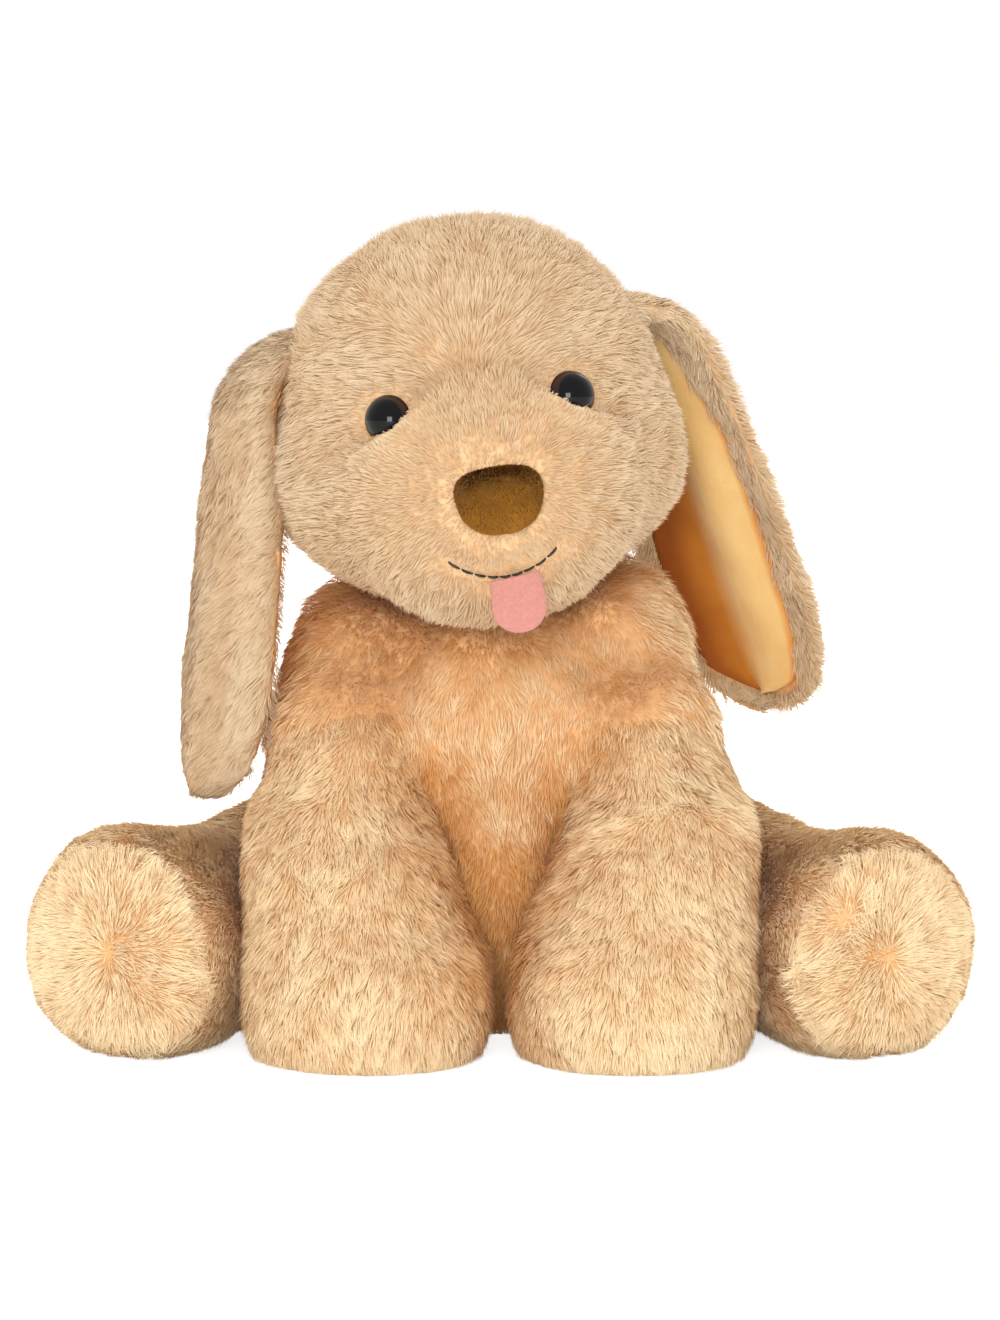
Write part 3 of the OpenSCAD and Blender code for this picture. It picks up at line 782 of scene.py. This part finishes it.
def pile(name, skin, material, count, length, flow, seed, others=(), grow=None, tint=None, lift=(52, 20),
         width=0.39, bare=None, shaded=(), fade=(), wrap=0.0, reach=3.5, wander=1.6, shade=1.0):
    """Leaf-shaped strands from roots spread over a skin. The lower half leaves the skin at the first lift
    angle and the upper half at the second, and the tip is drawn up the slope of a field of 7.5 mm waves."""
    rng = np.random.default_rng(seed)
    points, triangles = arrays_of(skin.data)
    normals = vertex_normals(points, triangles)
    a, b, c = (points[triangles[:, i]] for i in range(3))
    middle = (a + b + c) / 3
    area = np.linalg.norm(np.cross(b - a, c - a), axis=1) / 2
    facing = unit(normals[triangles].sum(1))
    pressed = covered(middle, facing, [SKINS[other] for other in others], reach)
    pressed |= (middle[:, 2] < 2.0) & (facing[:, 2] < -0.5)
    weight = area * np.where(pressed, PRESSED_SHARE, 1.0)
    if grow is not None:
        weight = weight * grow(middle)
    if bare is not None:
        weight = weight * (1 - bare[triangles].mean(1))
    chosen = rng.choice(len(triangles), count, p=weight / weight.sum())
    s, t = np.sqrt(rng.random(count)), rng.random(count)
    mix = np.stack([1 - s, s * (1 - t), s * t], 1)[:, :, None]
    root = (points[triangles[chosen]] * mix).sum(1)
    n = unit((normals[triangles[chosen]] * mix).sum(1))
    slow, slow_way = waves(root, 40, seed + 1)
    tuft, tuft_way = waves(root, 7.5, seed + 2)
    curl, curl_way = waves(root, 18, seed + 3)
    brush = flow(root, n) + wander * (slow_way + 0.3 * curl_way) + rng.normal(0, 0.1, (count, 3))
    comb = unit(along_skin(brush, n))
    long = length(root) * rng.uniform(0.74, 1.1, count) * (1 + 0.06 * slow)
    long = long * np.where(pressed[chosen], PRESSED_LENGTH, 1.0)
    if fade:
        gap = clearance(points, [SKINS[other] for other in fade])
        long = long * (0.7 + 0.3 * rise((gap[triangles[chosen]] * mix[:, :, 0]).sum(1), 1, 12))
    stray = rng.random(count) < STRAY_SHARE
    first = leaning(lift[0] + 5 * rng.normal(size=count) + 4 * curl, comb, n)
    second = leaning(lift[1] + 4 * rng.normal(size=count) + 4 * tuft + 3 * slow + 18 * stray, comb, n)
    bend = root + first * (0.45 * long)[:, None]
    pull = along_skin(tuft_way, n) * (0.9 * long / 6 * np.where(stray, 0.3, 1))[:, None]
    tip = bend + second * (0.55 * long)[:, None] + pull
    roll = rng.uniform(-0.9, 0.9, count)[:, None]
    side = unit(np.cross(second, n)) * np.cos(roll) + n * np.sin(roll)
    broad = (width / 2 * rng.uniform(0.7, 1.2, count))[:, None]
    strand = np.stack([root - n * 0.5, bend - side * broad, bend + side * broad, tip], 1)
    strand[:, :, 2] = np.maximum(strand[:, :, 2], FLOOR_LEVEL + 0.15 * rng.random((count, 1)))
    # A strand's tone mixes the painted-shade ramp with the lit ramp. It varies at random, drops in the valleys
    # between tufts as painted shade, and drops further as painted shade where other pieces take the sky.
    tone = 0.74 + 0.07 * tuft + 0.06 * slow + 0.05 * curl + rng.normal(0, 0.04, count)
    tone = tone - shade * shade_by(shaded or others, root, n, wrap)
    if tint is not None:
        tone = tone + tint(root)
    across = np.array([0.0, -0.012, 0.012, 0.0])
    along = np.array([0.02, 0.5, 0.5, 0.98])
    uv = np.stack(np.broadcast_arrays(np.clip(tone, 0.03, 0.97)[:, None] + across, along), -1)
    faces = np.array([[0, 2, 1], [1, 2, 3]]) + 4 * np.arange(count)[:, None, None]
    coat = new_piece(name, strand.reshape(-1, 3), faces.reshape(-1, 3), material, uv.reshape(-1, 2))
    up = unit(unit(np.cross(strand[:, 2] - strand[:, 1], strand[:, 3] - strand[:, 0])) + 0.9 * n)
    left, right = (unit(LEAF_UP * up + turn * side) for turn in (-LEAF_ACROSS, LEAF_ACROSS))
    coat.data.normals_split_custom_set_from_vertices(np.stack([up, left, right, up], 1).reshape(-1, 3))
    print(name, count, "strands on", round(float((weight > 0) @ area)), "square mm")
    return coat


# %% [markdown]
# ## Coats of the head, trunk, legs and tail
# On the face the pile runs away from the nose and is clipped short round the eyes, nose and mouth. On the
# trunk and the front legs it is brushed down, on the hind legs it runs out to the foot and makes a whorl on
# the toes, and on the tail it runs to the tip.

# %% Head coat
MOUTH_POINTS = head_point(face_way(*mouth_line(np.linspace(0, 1, 15))), np.full(15, 1.0))
WHORL = head_point(unit(np.array([-2.0, -40.0, 24.0])), np.array(1.0))
TONGUE_POINTS = TONGUE_TOP + head_way(np.array([[x, 3.0, -z] for x in (-5, 0, 5) for z in (1, 6, 11, 16)]))


def distance_to(points, places):
    """Distance from each point to the nearest of a few places."""
    return np.min([np.linalg.norm(points - p, axis=1) for p in places], axis=0)


def head_length(p):
    """6.6 mm pile, shorter on the muzzle, and clipped near the eyes, the nose, the mouth and the tongue."""
    muzzle = 0.64 + 0.36 * rise(from_nose(p), 22, 58)
    eyes = 0.28 + 0.72 * rise(distance_to(p, EYE_BASES), 9, 19)
    eyes = np.maximum(eyes, 0.75 * lid(p))
    nose = 0.45 + 0.55 * rise(from_nose(p), 13, 20)
    mouth = 0.3 + 0.7 * rise(distance_to(p, MOUTH_POINTS), 1.5, 6.5)
    tongue = 0.3 + 0.7 * rise(distance_to(p, TONGUE_POINTS), 5, 9)
    return 6.6 * muzzle * np.minimum.reduce([eyes, nose, mouth, tongue])


def head_flow(p, n):
    """Away from the nose on the muzzle, from the whorl on the forehead, and up against the eyes from below."""
    brow = rise(above_seam(p)[0], -3, 5)[:, None]
    away = unit(p - NOSE_TIP) * (1 - brow) + unit(p - WHORL) * brow
    for eye in EYE_BASES:
        offset = p - eye
        near = np.exp(-(np.linalg.norm(offset, axis=1, keepdims=True) / 11) ** 2)
        away = away + 1.3 * near * unit(offset) * (1 - 2 * lid(p))[:, None]
    return away + np.array([0, 0, -0.12])


def head_grow(p):
    """No pile under the eyes or the nose."""
    return ((distance_to(p, EYE_BASES) > 6.2) | (lid(p) > 0.4)) & (from_nose(p) > 9.0)


def face_shade_and_light(p):
    """Painted shade at the whorl between the eyes, where the pile parts, and in the crease of the seam. Painted
    light on the muzzle's ridge below the seam. A little darker on the muzzle near the nose.
    """
    whorl = np.exp(-(np.linalg.norm(p - WHORL, axis=1) / 6) ** 2)
    above, front = above_seam(p)
    muzzle = 1 - rise(from_nose(p), 20, 45)
    crease = np.exp(-((above - 1.5) / 2.2) ** 2) * front
    ridge = np.exp(-((above + 6) / 5) ** 2) * front
    return 0.08 * ridge - 0.22 * crease - 0.5 * whorl - 0.2 * muzzle


COATS = {"head": pile("head_pile", SKINS["head"], HEAD_PILE, 99000, head_length, head_flow, 11,
                      ["torso"], head_grow, face_shade_and_light)}

# %% Trunk, leg and tail coats
NECK = np.array([-5.0, 12.0, 140.0])
DOWN = np.array([0, 0, -1.0])


def down_flow(p, n):
    """Brushed down, and away from the neck on the shoulders."""
    away = unit((p - NECK) * np.array([1.0, 1.0, 0.0]))
    return DOWN + 0.7 * away * rise(n[:, 2], 0.1, 0.8)[:, None]


def even(value):
    """One length, or one tint, all over a coat."""
    return lambda p: np.full(len(p), float(value))


def even_flow(way):
    """A coat brushed one way."""
    return lambda p, n: np.array(way) + 0 * p


def belly_painted_shade(p):
    """Painted shade low on the belly, which the front legs keep in the shade."""
    return -0.5 * (1 - rise(p[:, 2], 50, 76)) * rise(-p[:, 1], 5, 25)


def arm_painted_shade(p):
    """Painted shade towards the shoulder, to meet the painted shade on the trunk there. A little paler lower down.
    """
    return 0.08 - 0.22 * rise(p[:, 2], 84, 110)


LEGS = [name for name in SKINS if "leg" in name]
COATS["torso"] = pile("torso_pile", SKINS["torso"], BODY_PILE, 99000, even(6.6), down_flow, 21,
                      LEGS + ["head"], tint=belly_painted_shade, wrap=0.08,
                      shaded=["head", "ear_right", "front_paw_left", "front_paw_right"])

for side, hand in HANDS:
    paw = mirrored(PAW, side)

    def paw_flow(p, n, paw=paw):
        """Down the leg, spreading over the paw."""
        return DOWN + 0.6 * unit(p - paw) * rise(-p[:, 2], -34, -8)[:, None]

    key = "front_leg_" + hand
    near = ["front_leg_" + ("right" if hand == "left" else "left"), "hind_leg_" + hand, "head", "ear_right"]
    COATS[key] = pile(key + "_pile", SKINS[key], BODY_PILE, 90000, even(6.4), paw_flow, 31 + side,
                      ["torso"], shaded=near, fade=["torso"], reach=0.8, tint=arm_painted_shade)
    toe = mirrored(TOE + HIND_WAY * 18 + HIND_SIDE * 12 + [0, -12, 0], side)
    outward = mirrored(HIND_WAY, side)
    ahead = unit(outward + np.array([0, -0.7, 0]))

    def toe_flow(p, n, toe=toe, outward=outward, ahead=ahead):
        """Out along the leg, then away from the middle of the toes."""
        front = rise(n @ ahead, 0.25, 0.8)[:, None]
        return (outward + np.array([0, 0, -0.35])) * (1 - front) + unit(p - toe) * front

    key = "hind_leg_" + hand
    COATS[key] = pile(key + "_pile", SKINS[key], BODY_PILE, 95000, even(6.4), toe_flow, 41 + side,
                      ["torso", "front_leg_" + hand], shaded=["front_leg_" + hand], fade=["torso"],
                      tint=even(0.15), reach=0.8, shade=0.3)

COATS["tail"] = pile("tail_pile", SKINS["tail"], BODY_PILE, 7000, even(6.4), even_flow([0, 0.25, 1.0]),
                     51, ["torso"], reach=0.8, wander=0.3)

# %% [markdown]
# ## Ears
# An ear is a flat bag of plush with a velour lining. The plush is cut wider than the lining, so that it
# rolls round the edge and shows as a furry border beside the lining. The middle line of the ear rises from
# the head, bends over and hangs. Both layers are closed loops carried along that line.

# %% Ear surfaces
EAR_BEND, EAR_CUP = 30.0, 9.0
EAR_START = math.radians(65)
EARS = {"left": dict(side=1, turn=math.radians(48), lean=math.radians(26.3), length=161.0,
                     width=58.0, slant=5.0, front_cup=0.25, root=np.array([35.6, 8.71, 231.0])),
        "right": dict(side=-1, turn=math.radians(27), lean=math.radians(6.4), length=148.0,
                      width=52.0, slant=0.0, front_cup=1.0, root=np.array([-66.4, 0.76, 218.17]))}
EAR_FIRST, EAR_LAST = -0.11, 1.004
EAR_WIDEST, EAR_END = 0.74, 0.264
OUTER_THICK, INNER_THICK = 3.0, 2.2
LINING_END = 0.975


def ear_half(ear, t):
    """Half the width along the ear: widening from the root, then a round end."""
    wide = 0.5 + 0.5 * np.sin(np.minimum(t, EAR_WIDEST) / EAR_WIDEST * math.pi / 2)
    end = np.sqrt(np.maximum(1 - ((t - EAR_WIDEST) / EAR_END) ** 2, 0))
    return ear["width"] / 2 * np.where(t < EAR_WIDEST, wide, end)


def ear_place(ear, t, u, n):
    """Place at t along the ear, u across it and n outwards from it. The line is an arc and then a straight
    hang, the edges curl towards the lining, and a slanted ear hangs lower at its front edge."""
    s = ear["length"] * t
    slope = np.maximum(EAR_START - s / EAR_BEND, 0)
    straight = np.maximum(s - EAR_BEND * EAR_START, 0)
    cup = EAR_CUP * np.where(u < 0, ear["front_cup"], 1.0)
    lift = n - cup * u * u * np.clip(2.5 * t, 0, 1)
    x = EAR_BEND * (np.cos(slope) - math.cos(EAR_START)) + lift * np.cos(slope)
    z = EAR_BEND * (np.sin(slope) - math.sin(EAR_START)) - straight + lift * np.sin(slope)
    z = z + ear["slant"] * u * rise(t, 0.45, 0.8) * ear_half(ear, t) / (ear["width"] / 2)
    y = ear_half(ear, t) * u
    lean, turn = ear["lean"], ear["turn"]
    out = ear["side"] * (x * math.cos(lean) - z * math.sin(lean))
    up = x * math.sin(lean) + z * math.cos(lean)
    return ear["root"] + np.stack([out * math.cos(turn) - y * math.sin(turn),
                                   out * math.sin(turn) + y * math.cos(turn), up], -1)


def ear_line(ear, t, u=0.0, n=0.0):
    """One place on the ear, by default on its middle line."""
    return ear_place(ear, np.array(t), u, n)


def ear_plush(name, ear):
    """A closed loop round the ear with round ends."""
    rows, columns = 64, 56
    t = EAR_FIRST + (EAR_LAST - EAR_FIRST) * (1 - np.cos(np.linspace(0, math.pi, rows))) / 2
    t, a = np.meshgrid(t, round_angles(columns), indexing="ij")
    root = np.sqrt(np.clip((t - EAR_FIRST) / 0.05, 0, 1))
    ends = np.sqrt(np.clip((EAR_LAST - t) / 0.07, 0, 1)) * root
    thick = np.where(np.sin(a) > 0, OUTER_THICK, INNER_THICK)
    n = thick * np.sign(np.sin(a)) * np.abs(np.sin(a)) ** 0.5 * ends
    points = ear_place(ear, t, np.cos(a) * root, n).reshape(-1, 3)
    return new_piece(name, points, loop_faces(rows, columns), BODY_BACKING, weld=True)


def seam_of(hand, t):
    """Where the lining is sewn: its front and back edges across the ear, from -1 to 1."""
    ends = np.sqrt(np.clip((LINING_END - t) / 0.05, 0, 1))
    if hand == "left":
        return (-0.78 + 0.6 * (1 - rise(t, 0.02, 0.4))) * ends, 0.82 * ends
    return -0.98 * ends, 0.7 * ends


def inner_face(u):
    """Height of the plush's inner face across the ear."""
    return -INNER_THICK * np.clip(1 - u * u, 0, 1) ** 0.25


def ear_lining(name, hand, ear, material):
    """A closed thin pad inside the seam, with one long roll and a hollow beside it. The UV map runs across and
    along."""
    rows, columns = 72, 64
    t, a = np.meshgrid(np.linspace(0.0, LINING_END, rows), round_angles(columns), indexing="ij")
    front, back = seam_of(hand, t)
    v = np.cos(a)
    u = (front + back) / 2 + v * (back - front) / 2
    middle = -0.42 + 0.1 * np.sin(5 * t)
    roll = 4.2 * np.exp(-((v - middle) / 0.42) ** 2) * rise(t, 0.08, 0.4) * (1 - 0.6 * rise(t, 0.7, 0.95))
    hollow = 0.9 * np.exp(-((v - 0.35) / 0.35) ** 2) * rise(t, 0.15, 0.5)
    gather = 0.35 * np.sin(70 * t + 3 * np.sin(11 * t)) * np.abs(v) ** 6
    height = 1.0 + 0.9 * (1 - v ** 4) + roll - hollow + gather
    n = inner_face(u) - np.where(np.sin(a) > 0, height * np.clip(np.sin(a) * 3, 0, 1), -0.6)
    points = ear_place(ear, t, u, n).reshape(-1, 3)
    uv = np.stack([0.5 + v / 2, t], -1).reshape(-1, 2)
    return new_piece(name, points, loop_faces(rows, columns), material, uv, "lining", weld=True)


def velour_material(name, edge, pale, in_shade, in_deepest_shade):
    """Warp-knitted velour: a short dense nap, so soft light with a pale edge, and streaks where it is rubbed.
    The colour across the lining holds painted shade: darker along the front seam, the lining's own pale gold on
    the roll, and darker again in the hollow beside the roll, darkest towards the back seam. Streaks are 2 mm wide."""
    material, tree = new_material(name)
    place = {"Vector": object_place(tree)}
    streak = add_node(tree, "ShaderNodeTexNoise", None, {"Scale": 500.0, "Detail": 3.0, "Distortion": 0.6}, place)
    cloud = add_node(tree, "ShaderNodeTexNoise", None, {"Scale": 60.0, "Detail": 2.0}, place)
    stops = ((0.02, edge), (0.07, pale), (0.38, pale), (0.62, in_shade), (0.85, in_deepest_shade))
    across = colour_ramp(tree, uv_parts(tree, "lining")["X"], stops)
    rub = add_node(tree, "ShaderNodeMix", {"data_type": "RGBA", "blend_type": "SOFT_LIGHT"}, {"Factor": 0.5},
                   {6: across, 7: cloud.outputs["Fac"]})
    bump = add_node(tree, "ShaderNodeBump", inputs={"Strength": 0.35, "Distance": 0.6 * MM},
                    links={"Height": streak.outputs["Fac"]})
    put_surface(tree, rub.outputs[2], {"Roughness": 0.8, "Specular IOR Level": 0.2, "Sheen Weight": 0.35,
                                       "Sheen Roughness": 0.35}, bump.outputs[0])
    return material


# The first colour is painted shade along the front seam, the second is the lining's own pale gold, and the last
# two are painted shade in the hollow beside the roll.
LINING = velour_material("warp_knitted_velour", "#D98A34", "#EAC584", "#BC7628", "#92501A")


# %% Ear pieces
def ear_bare(hand, ear, skin):
    """1 at the vertices of the plush that the lining covers, found from the lining's own surface."""
    points = places_of(skin.data)
    t = np.linspace(0.02, LINING_END - 0.01, 90)[:, None]
    front, back = seam_of(hand, t)
    u = front + (back - front) * np.linspace(0.04, 0.96, 40)
    sewn = ear_place(ear, t, u, inner_face(u)).reshape(-1, 3)
    gaps = [np.linalg.norm(points[:, None] - part[None], axis=2).min(1) for part in np.array_split(sewn, 40)]
    return (np.min(gaps, axis=0) < 1.6).astype(float)


for hand, ear in EARS.items():
    body = "ear_" + hand
    skin = ear_plush(body + "_skin", ear)
    hang = unit(ear_line(ear, 0.9) - ear_line(ear, 0.3))
    across = unit(ear_line(ear, 0.6, 1.0) - ear_line(ear, 0.6, -1.0))
    line = ear_line(ear, 0.6)
    outward = unit(ear_line(ear, 0.6, 0.0, 1.0) - line)

    def ear_flow(p, n, hang=hang, across=across, line=line, outward=outward):
        """Down the ear, and round its edges from the lining to the outside."""
        over = np.clip((p - line) @ across / 26, -1, 1) * -0.6 * (n @ outward)
        return hang + 0.8 * outward + across * over[:, None]

    def ear_border_light(p, line=line, outward=outward):
        """Painted light on the border beside the lining, which would otherwise render in shade. A little darker
        over the rest of the ear.
        """
        return 0.3 * ((p - line) @ outward < -1.5) - 0.15

    coat = pile(body + "_pile", skin, HEAD_PILE, 60000, even(5.8), ear_flow, 61 + ear["side"],
                bare=ear_bare(hand, ear, skin), shaded=["head"] if hand == "right" else (), lift=(46, 16),
                tint=ear_border_light)
    lining = ear_lining(body + "_lining_pad", hand, ear, LINING)
    for piece, slot in ((skin, "ear_plush"), (coat, "ear_plush"), (lining, "ear_lining")):
        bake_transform(piece)
    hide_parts(body + "_outer")
    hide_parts(body + "_lining")

# %% [markdown]
# ## Nose, mouth and tongue
# The nose is a small stuffed patch of brown velour. The mouth is a row of dark backstitches, each of which
# comes out of the cloth and goes in again. The tongue is a piece of pink felt, cut with a round end and sewn
# in under the stitches.

# %% Nose
NOSE_RINGS = [(0, 9.4), (0.4, 9.0), (0.75, 7.4), (0.95, 4.8), (1, 2.4), (0.92, 0.4), (0.5, 0.0), (0, 0)]
NOSE_HALF_WIDTH, NOSE_HALF_HEIGHT = 12.7, 9.2


def smooth_keys(keys, count):
    """A smooth line through a few keys: a Catmull-Rom curve, at evenly spaced places."""
    keys = np.asarray(keys, float)
    at = np.linspace(0, len(keys) - 1, count)
    i = np.minimum(at.astype(int), len(keys) - 2)
    f = (at - i)[:, None]
    a, b, c, d = (keys[np.clip(i + k, 0, len(keys) - 1)] for k in (-1, 0, 1, 2))
    return b + 0.5 * f * (c - a + f * (2 * a - 5 * b + 4 * c - d + f * (3 * (b - c) + d - a)))


def nose_surface(name, material):
    """A padded trapezoid with round corners: the edge is an ellipse that is wider above, and rings of falling
    share and height close it over the front."""
    rows, columns = 40, 64
    rings = smooth_keys(NOSE_RINGS, rows)
    a = round_angles(columns)
    corner = 1 - 0.045 * np.cos(4 * a)
    edge_u = 1.0 + NOSE_HALF_WIDTH * np.cos(a) * (1 + 0.17 * np.sin(a)) * corner
    edge_v = NOSE_HALF_HEIGHT * np.sin(a) * corner
    share, height = np.clip(rings[:, :1], 0, 1.02), rings[:, 1:]
    points = head_point(face_way(share * edge_u, NOSE_UP + share * edge_v), height + 0 * share * edge_u)
    return new_piece(name, points.reshape(-1, 3), loop_faces(rows, columns), material, weld=True)


def nose_tone_shift(p):
    """A little darker all over, and paler towards the lower right."""
    return -0.16 + 0.03 * ((p - NOSE_BASE) @ NOSE_PALER_WAY)


# As on the body, the first three codes are painted shade and the last three are the nap in full light.
NOSE_PILE = pile_material("velour_nose",
                          ("#4A2A08", "#6E420E", "#865616"), ("#68400E", "#966218", "#B27A28"), 0.0)
NOSE_BACKING = backing_material("velour_nose_backing", "#86602A", "#5E3E18")
NOSE_PALER_WAY = unit(head_way(np.array([0.5, 0, -0.86])))
nose = nose_surface("nose_pad", NOSE_BACKING)
nose_coat = pile("nose_pile", nose, NOSE_PILE, 15000, even(1.5), even_flow([0.25, 0, -1.0]), 71,
                 tint=nose_tone_shift, lift=(60, 30), width=0.3, shaded=["hind_leg_left"])
for piece in (nose, nose_coat):
    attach(piece, "head")
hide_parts("nose")

# %% Mouth
STITCHES, STEPS, SIDES = 9, 13, 10
STITCH_LOW, STITCH_RISE = 0.5, 0.75
THREAD_RADIUS = 0.42


def thread_material():
    """Mercerised cotton thread: two twisted plies with a faint gloss. Plies repeat every 1.2 mm."""
    material, tree = new_material("mercerised_cotton_thread")
    twist = add_node(tree, "ShaderNodeTexWave", {"bands_direction": "DIAGONAL"},
                     {"Scale": 130.0, "Distortion": 2.0}, {"Vector": object_place(tree)})
    colour = colour_ramp(tree, twist.outputs["Fac"], ((0.0, "#14100E"), (1.0, "#3A322E")))
    put_surface(tree, colour, {"Roughness": 0.55, "Specular IOR Level": 0.35})
    return material


def on_head(points, height):
    """Places moved along the line from the head's seat until they stand at a height over the head's skin."""
    seat = HEAD_AT + head_way(HEAD_SEAT)
    out = unit(points - seat)
    tree = tree_of(SKINS["head"])
    hits = [tree.ray_cast(Vector(seat * MM), Vector(way))[3] / MM for way in out.reshape(-1, 3)]
    reach = np.array(hits).reshape(height.shape)
    return seat + out * (reach + height)[..., None]


def stitch_row(name, material):
    """Short tubes end to end along the mouth line. Each rises out of the cloth and dips in again, so the height
    is a flattened half wave along the stitch, and the thread is thinner at its ends."""
    along = np.linspace(0, 1, STEPS)
    t = (np.arange(STITCHES)[:, None] + 0.04 + 0.92 * along) / STITCHES
    bow = np.sin(math.pi * along) ** 0.35
    path = on_head(head_point(face_way(*mouth_line(t)), 0 * t), STITCH_LOW + STITCH_RISE * bow + 0 * t)
    way = unit(np.gradient(path, axis=1))
    out = unit(path - (HEAD_AT + head_way(HEAD_SEAT)))
    across = unit(np.cross(way, out))
    over = np.cross(across, way)
    a = round_angles(SIDES)
    thick = (THREAD_RADIUS * np.clip(np.sin(math.pi * along), 0, 1) ** 0.25)[None, :, None, None]
    ring = np.cos(a)[:, None] * across[:, :, None] + np.sin(a)[:, None] * over[:, :, None]
    points = (path[:, :, None] + thick * ring).reshape(-1, 3)
    first = (np.arange(STITCHES) * STEPS * SIDES)[:, None, None]
    faces = (loop_faces(STEPS, SIDES)[None] + first).reshape(-1, 4)
    return new_piece(name, points, faces, material, weld=True)


mouth = stitch_row("mouth_stitches", thread_material())
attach(mouth, "head")
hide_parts("mouth_stitch")

# %% [markdown]
# The felt is pressed wool: matt, with tangled fibres that mottle it, drawn 1 mm wide so that they show.

# %% Tongue
TONGUE_LENGTH, TONGUE_HALF_WIDTH = 17.0, 8.2
FELT = mottled("pressed_wool_felt", ((0.3, "#BA7A70"), (0.75, "#CC9288")),
               {"Scale": 1000.0, "Detail": 5.0, "Roughness": 0.7, "Distortion": 1.0},
               {"Strength": 0.5, "Distance": 0.3 * MM},
               {"Roughness": 0.95, "Specular IOR Level": 0.1, "Sheen Weight": 0.25})


def soft_corner(share):
    """A cosine or sine made squarer, so that a loop gets soft edges."""
    return np.sign(share) * np.abs(share) ** 0.6


def tongue_surface(name, material):
    """A flat loop carried down from the mouth: 2 mm thick with soft edges and a half-round end. Its top edge
    bends back round the muzzle."""
    rows, columns = 36, 40
    v = 1.0005 - np.linspace(0, 1, rows) ** 1.8
    v, a = np.meshgrid(v[::-1], round_angles(columns), indexing="ij")
    end = np.sqrt(np.clip(1 - ((v - 0.56) / 0.4405) ** 2, 0, 1))
    half = TONGUE_HALF_WIDTH * np.where(v < 0.56, 1 - 0.06 * np.cos(v * 4), end)
    x = half * soft_corner(np.cos(a))
    y = -1.0 * soft_corner(np.sin(a)) * np.clip(half / 2.5, 0, 1) - 1.1 * np.sin(2.2 * v)
    slant = 0.09 * x * (1 - v)
    local = np.stack([x, y + 0.014 * x * x * (1 - 0.7 * v), slant - TONGUE_LENGTH * v], -1)
    points = TONGUE_TOP + head_way(local + np.array([0, -0.9, -0.6]))
    return new_piece(name, points.reshape(-1, 3), loop_faces(rows, columns), material, weld=True)


tongue = tongue_surface("tongue_felt", FELT)
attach(tongue, "tongue")
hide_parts("tongue")

# %% [markdown]
# ## Eyes
# A safety eye is a dome of moulded acrylic with a black pupil behind clear brown. The CAD dome is the right
# shape, so it stays and takes a glossy material. The pupil's edge is found from the height over the eye's base.

# %% Eye material
EYE_HEIGHT = 5.4 * MM


def eye_material(name, middle, aim):
    """Moulded acrylic: black over the middle and dark brown round the rim, under a smooth clear surface."""
    material, tree = new_material(name)
    offset = add_node(tree, "ShaderNodeVectorMath", {"operation": "SUBTRACT"},
                      {1: tuple(middle * MM)}, {0: object_place(tree)})
    height = add_node(tree, "ShaderNodeVectorMath", {"operation": "DOT_PRODUCT"},
                      {1: tuple(aim)}, {0: offset.outputs[0]})
    share = add_node(tree, "ShaderNodeMapRange", None, {"From Min": 0.0, "From Max": EYE_HEIGHT},
                     {"Value": height.outputs["Value"]})
    colour = colour_ramp(tree, share.outputs[0], ((0.0, "#2A160E"), (0.46, "#341C12"), (0.56, "#040304")))
    put_surface(tree, colour, {"Roughness": 0.05, "IOR": 1.49, "Specular IOR Level": 0.2})
    return material


for (_, hand), (middle, aim) in zip(HANDS, EYES):
    paint(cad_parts["eye_" + hand].data, eye_material("moulded_acrylic_eye_" + hand, middle, aim))

# %% [markdown]
# ## What is inside
# The filling, the pellet bags and the washers are the CAD solids. They don't show while the toy is whole, but
# each still gets the finish of its stuff, for anyone who opens the model up. The wad in the neck has a tube of
# the plush's backing round it, which can show under the chin when the head nods.

# %% Inner materials
def speckled(name, pale, dark, grain, roughness, depth):
    """A matt stuff with mottling of one grain size in millimetres and a bump of a depth in millimetres."""
    return mottled(name, ((0.32, dark), (0.68, pale)),
                   {"Scale": 1000.0 / grain, "Detail": 5.0, "Distortion": 0.8},
                   {"Strength": 0.6, "Distance": depth * MM},
                   {"Roughness": roughness, "Specular IOR Level": 0.25})


FIBRE = speckled("carded_polyester_fibre", "#F8F6F0", "#E4E0D6", 3.0, 0.95, 1.0)
BAG = speckled("woven_cotton_bag", "#E0DACA", "#C8C0AC", 1.2, 0.9, 0.3)
WASHER = speckled("moulded_polyethylene", "#F0F0EE", "#E4E4E2", 2.0, 0.45, 0.05)
INSIDE = (("neck_filling", BODY_BACKING), ("filling", FIBRE), ("pellet_bag", BAG), ("washer", WASHER))
for name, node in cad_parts.items():
    for word, material in INSIDE:
        if word in name:
            paint(node.data, material)
            break

# %% [markdown]
# The cover of the left front leg was drawn in at the shoulder. A stuffed leg takes its filling along, so the
# filling is copied and drawn in the same way.

# %% Drawn-in filling
filling = joined([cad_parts["front_leg_left_filling"].data])
wadding = put_object("front_leg_left_wadding", narrowed(filling, 1))
put_places(filling, fuller_arm(places_of(filling)))
paint(filling, FIBRE)
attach(wadding, "front_leg_left")
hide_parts("front_leg_left_filling")
print("wadding:", len(filling.polygons), "faces")

# %% [markdown]
# ## Riding the bodies
# A skin and its coat ride on the body of their cover, and the skin stands for the CAD cover.

# %% Ride and replace
for name, skin in SKINS.items():
    for piece in (skin, COATS[name]):
        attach(piece, name)
    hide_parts(name + "_cover")
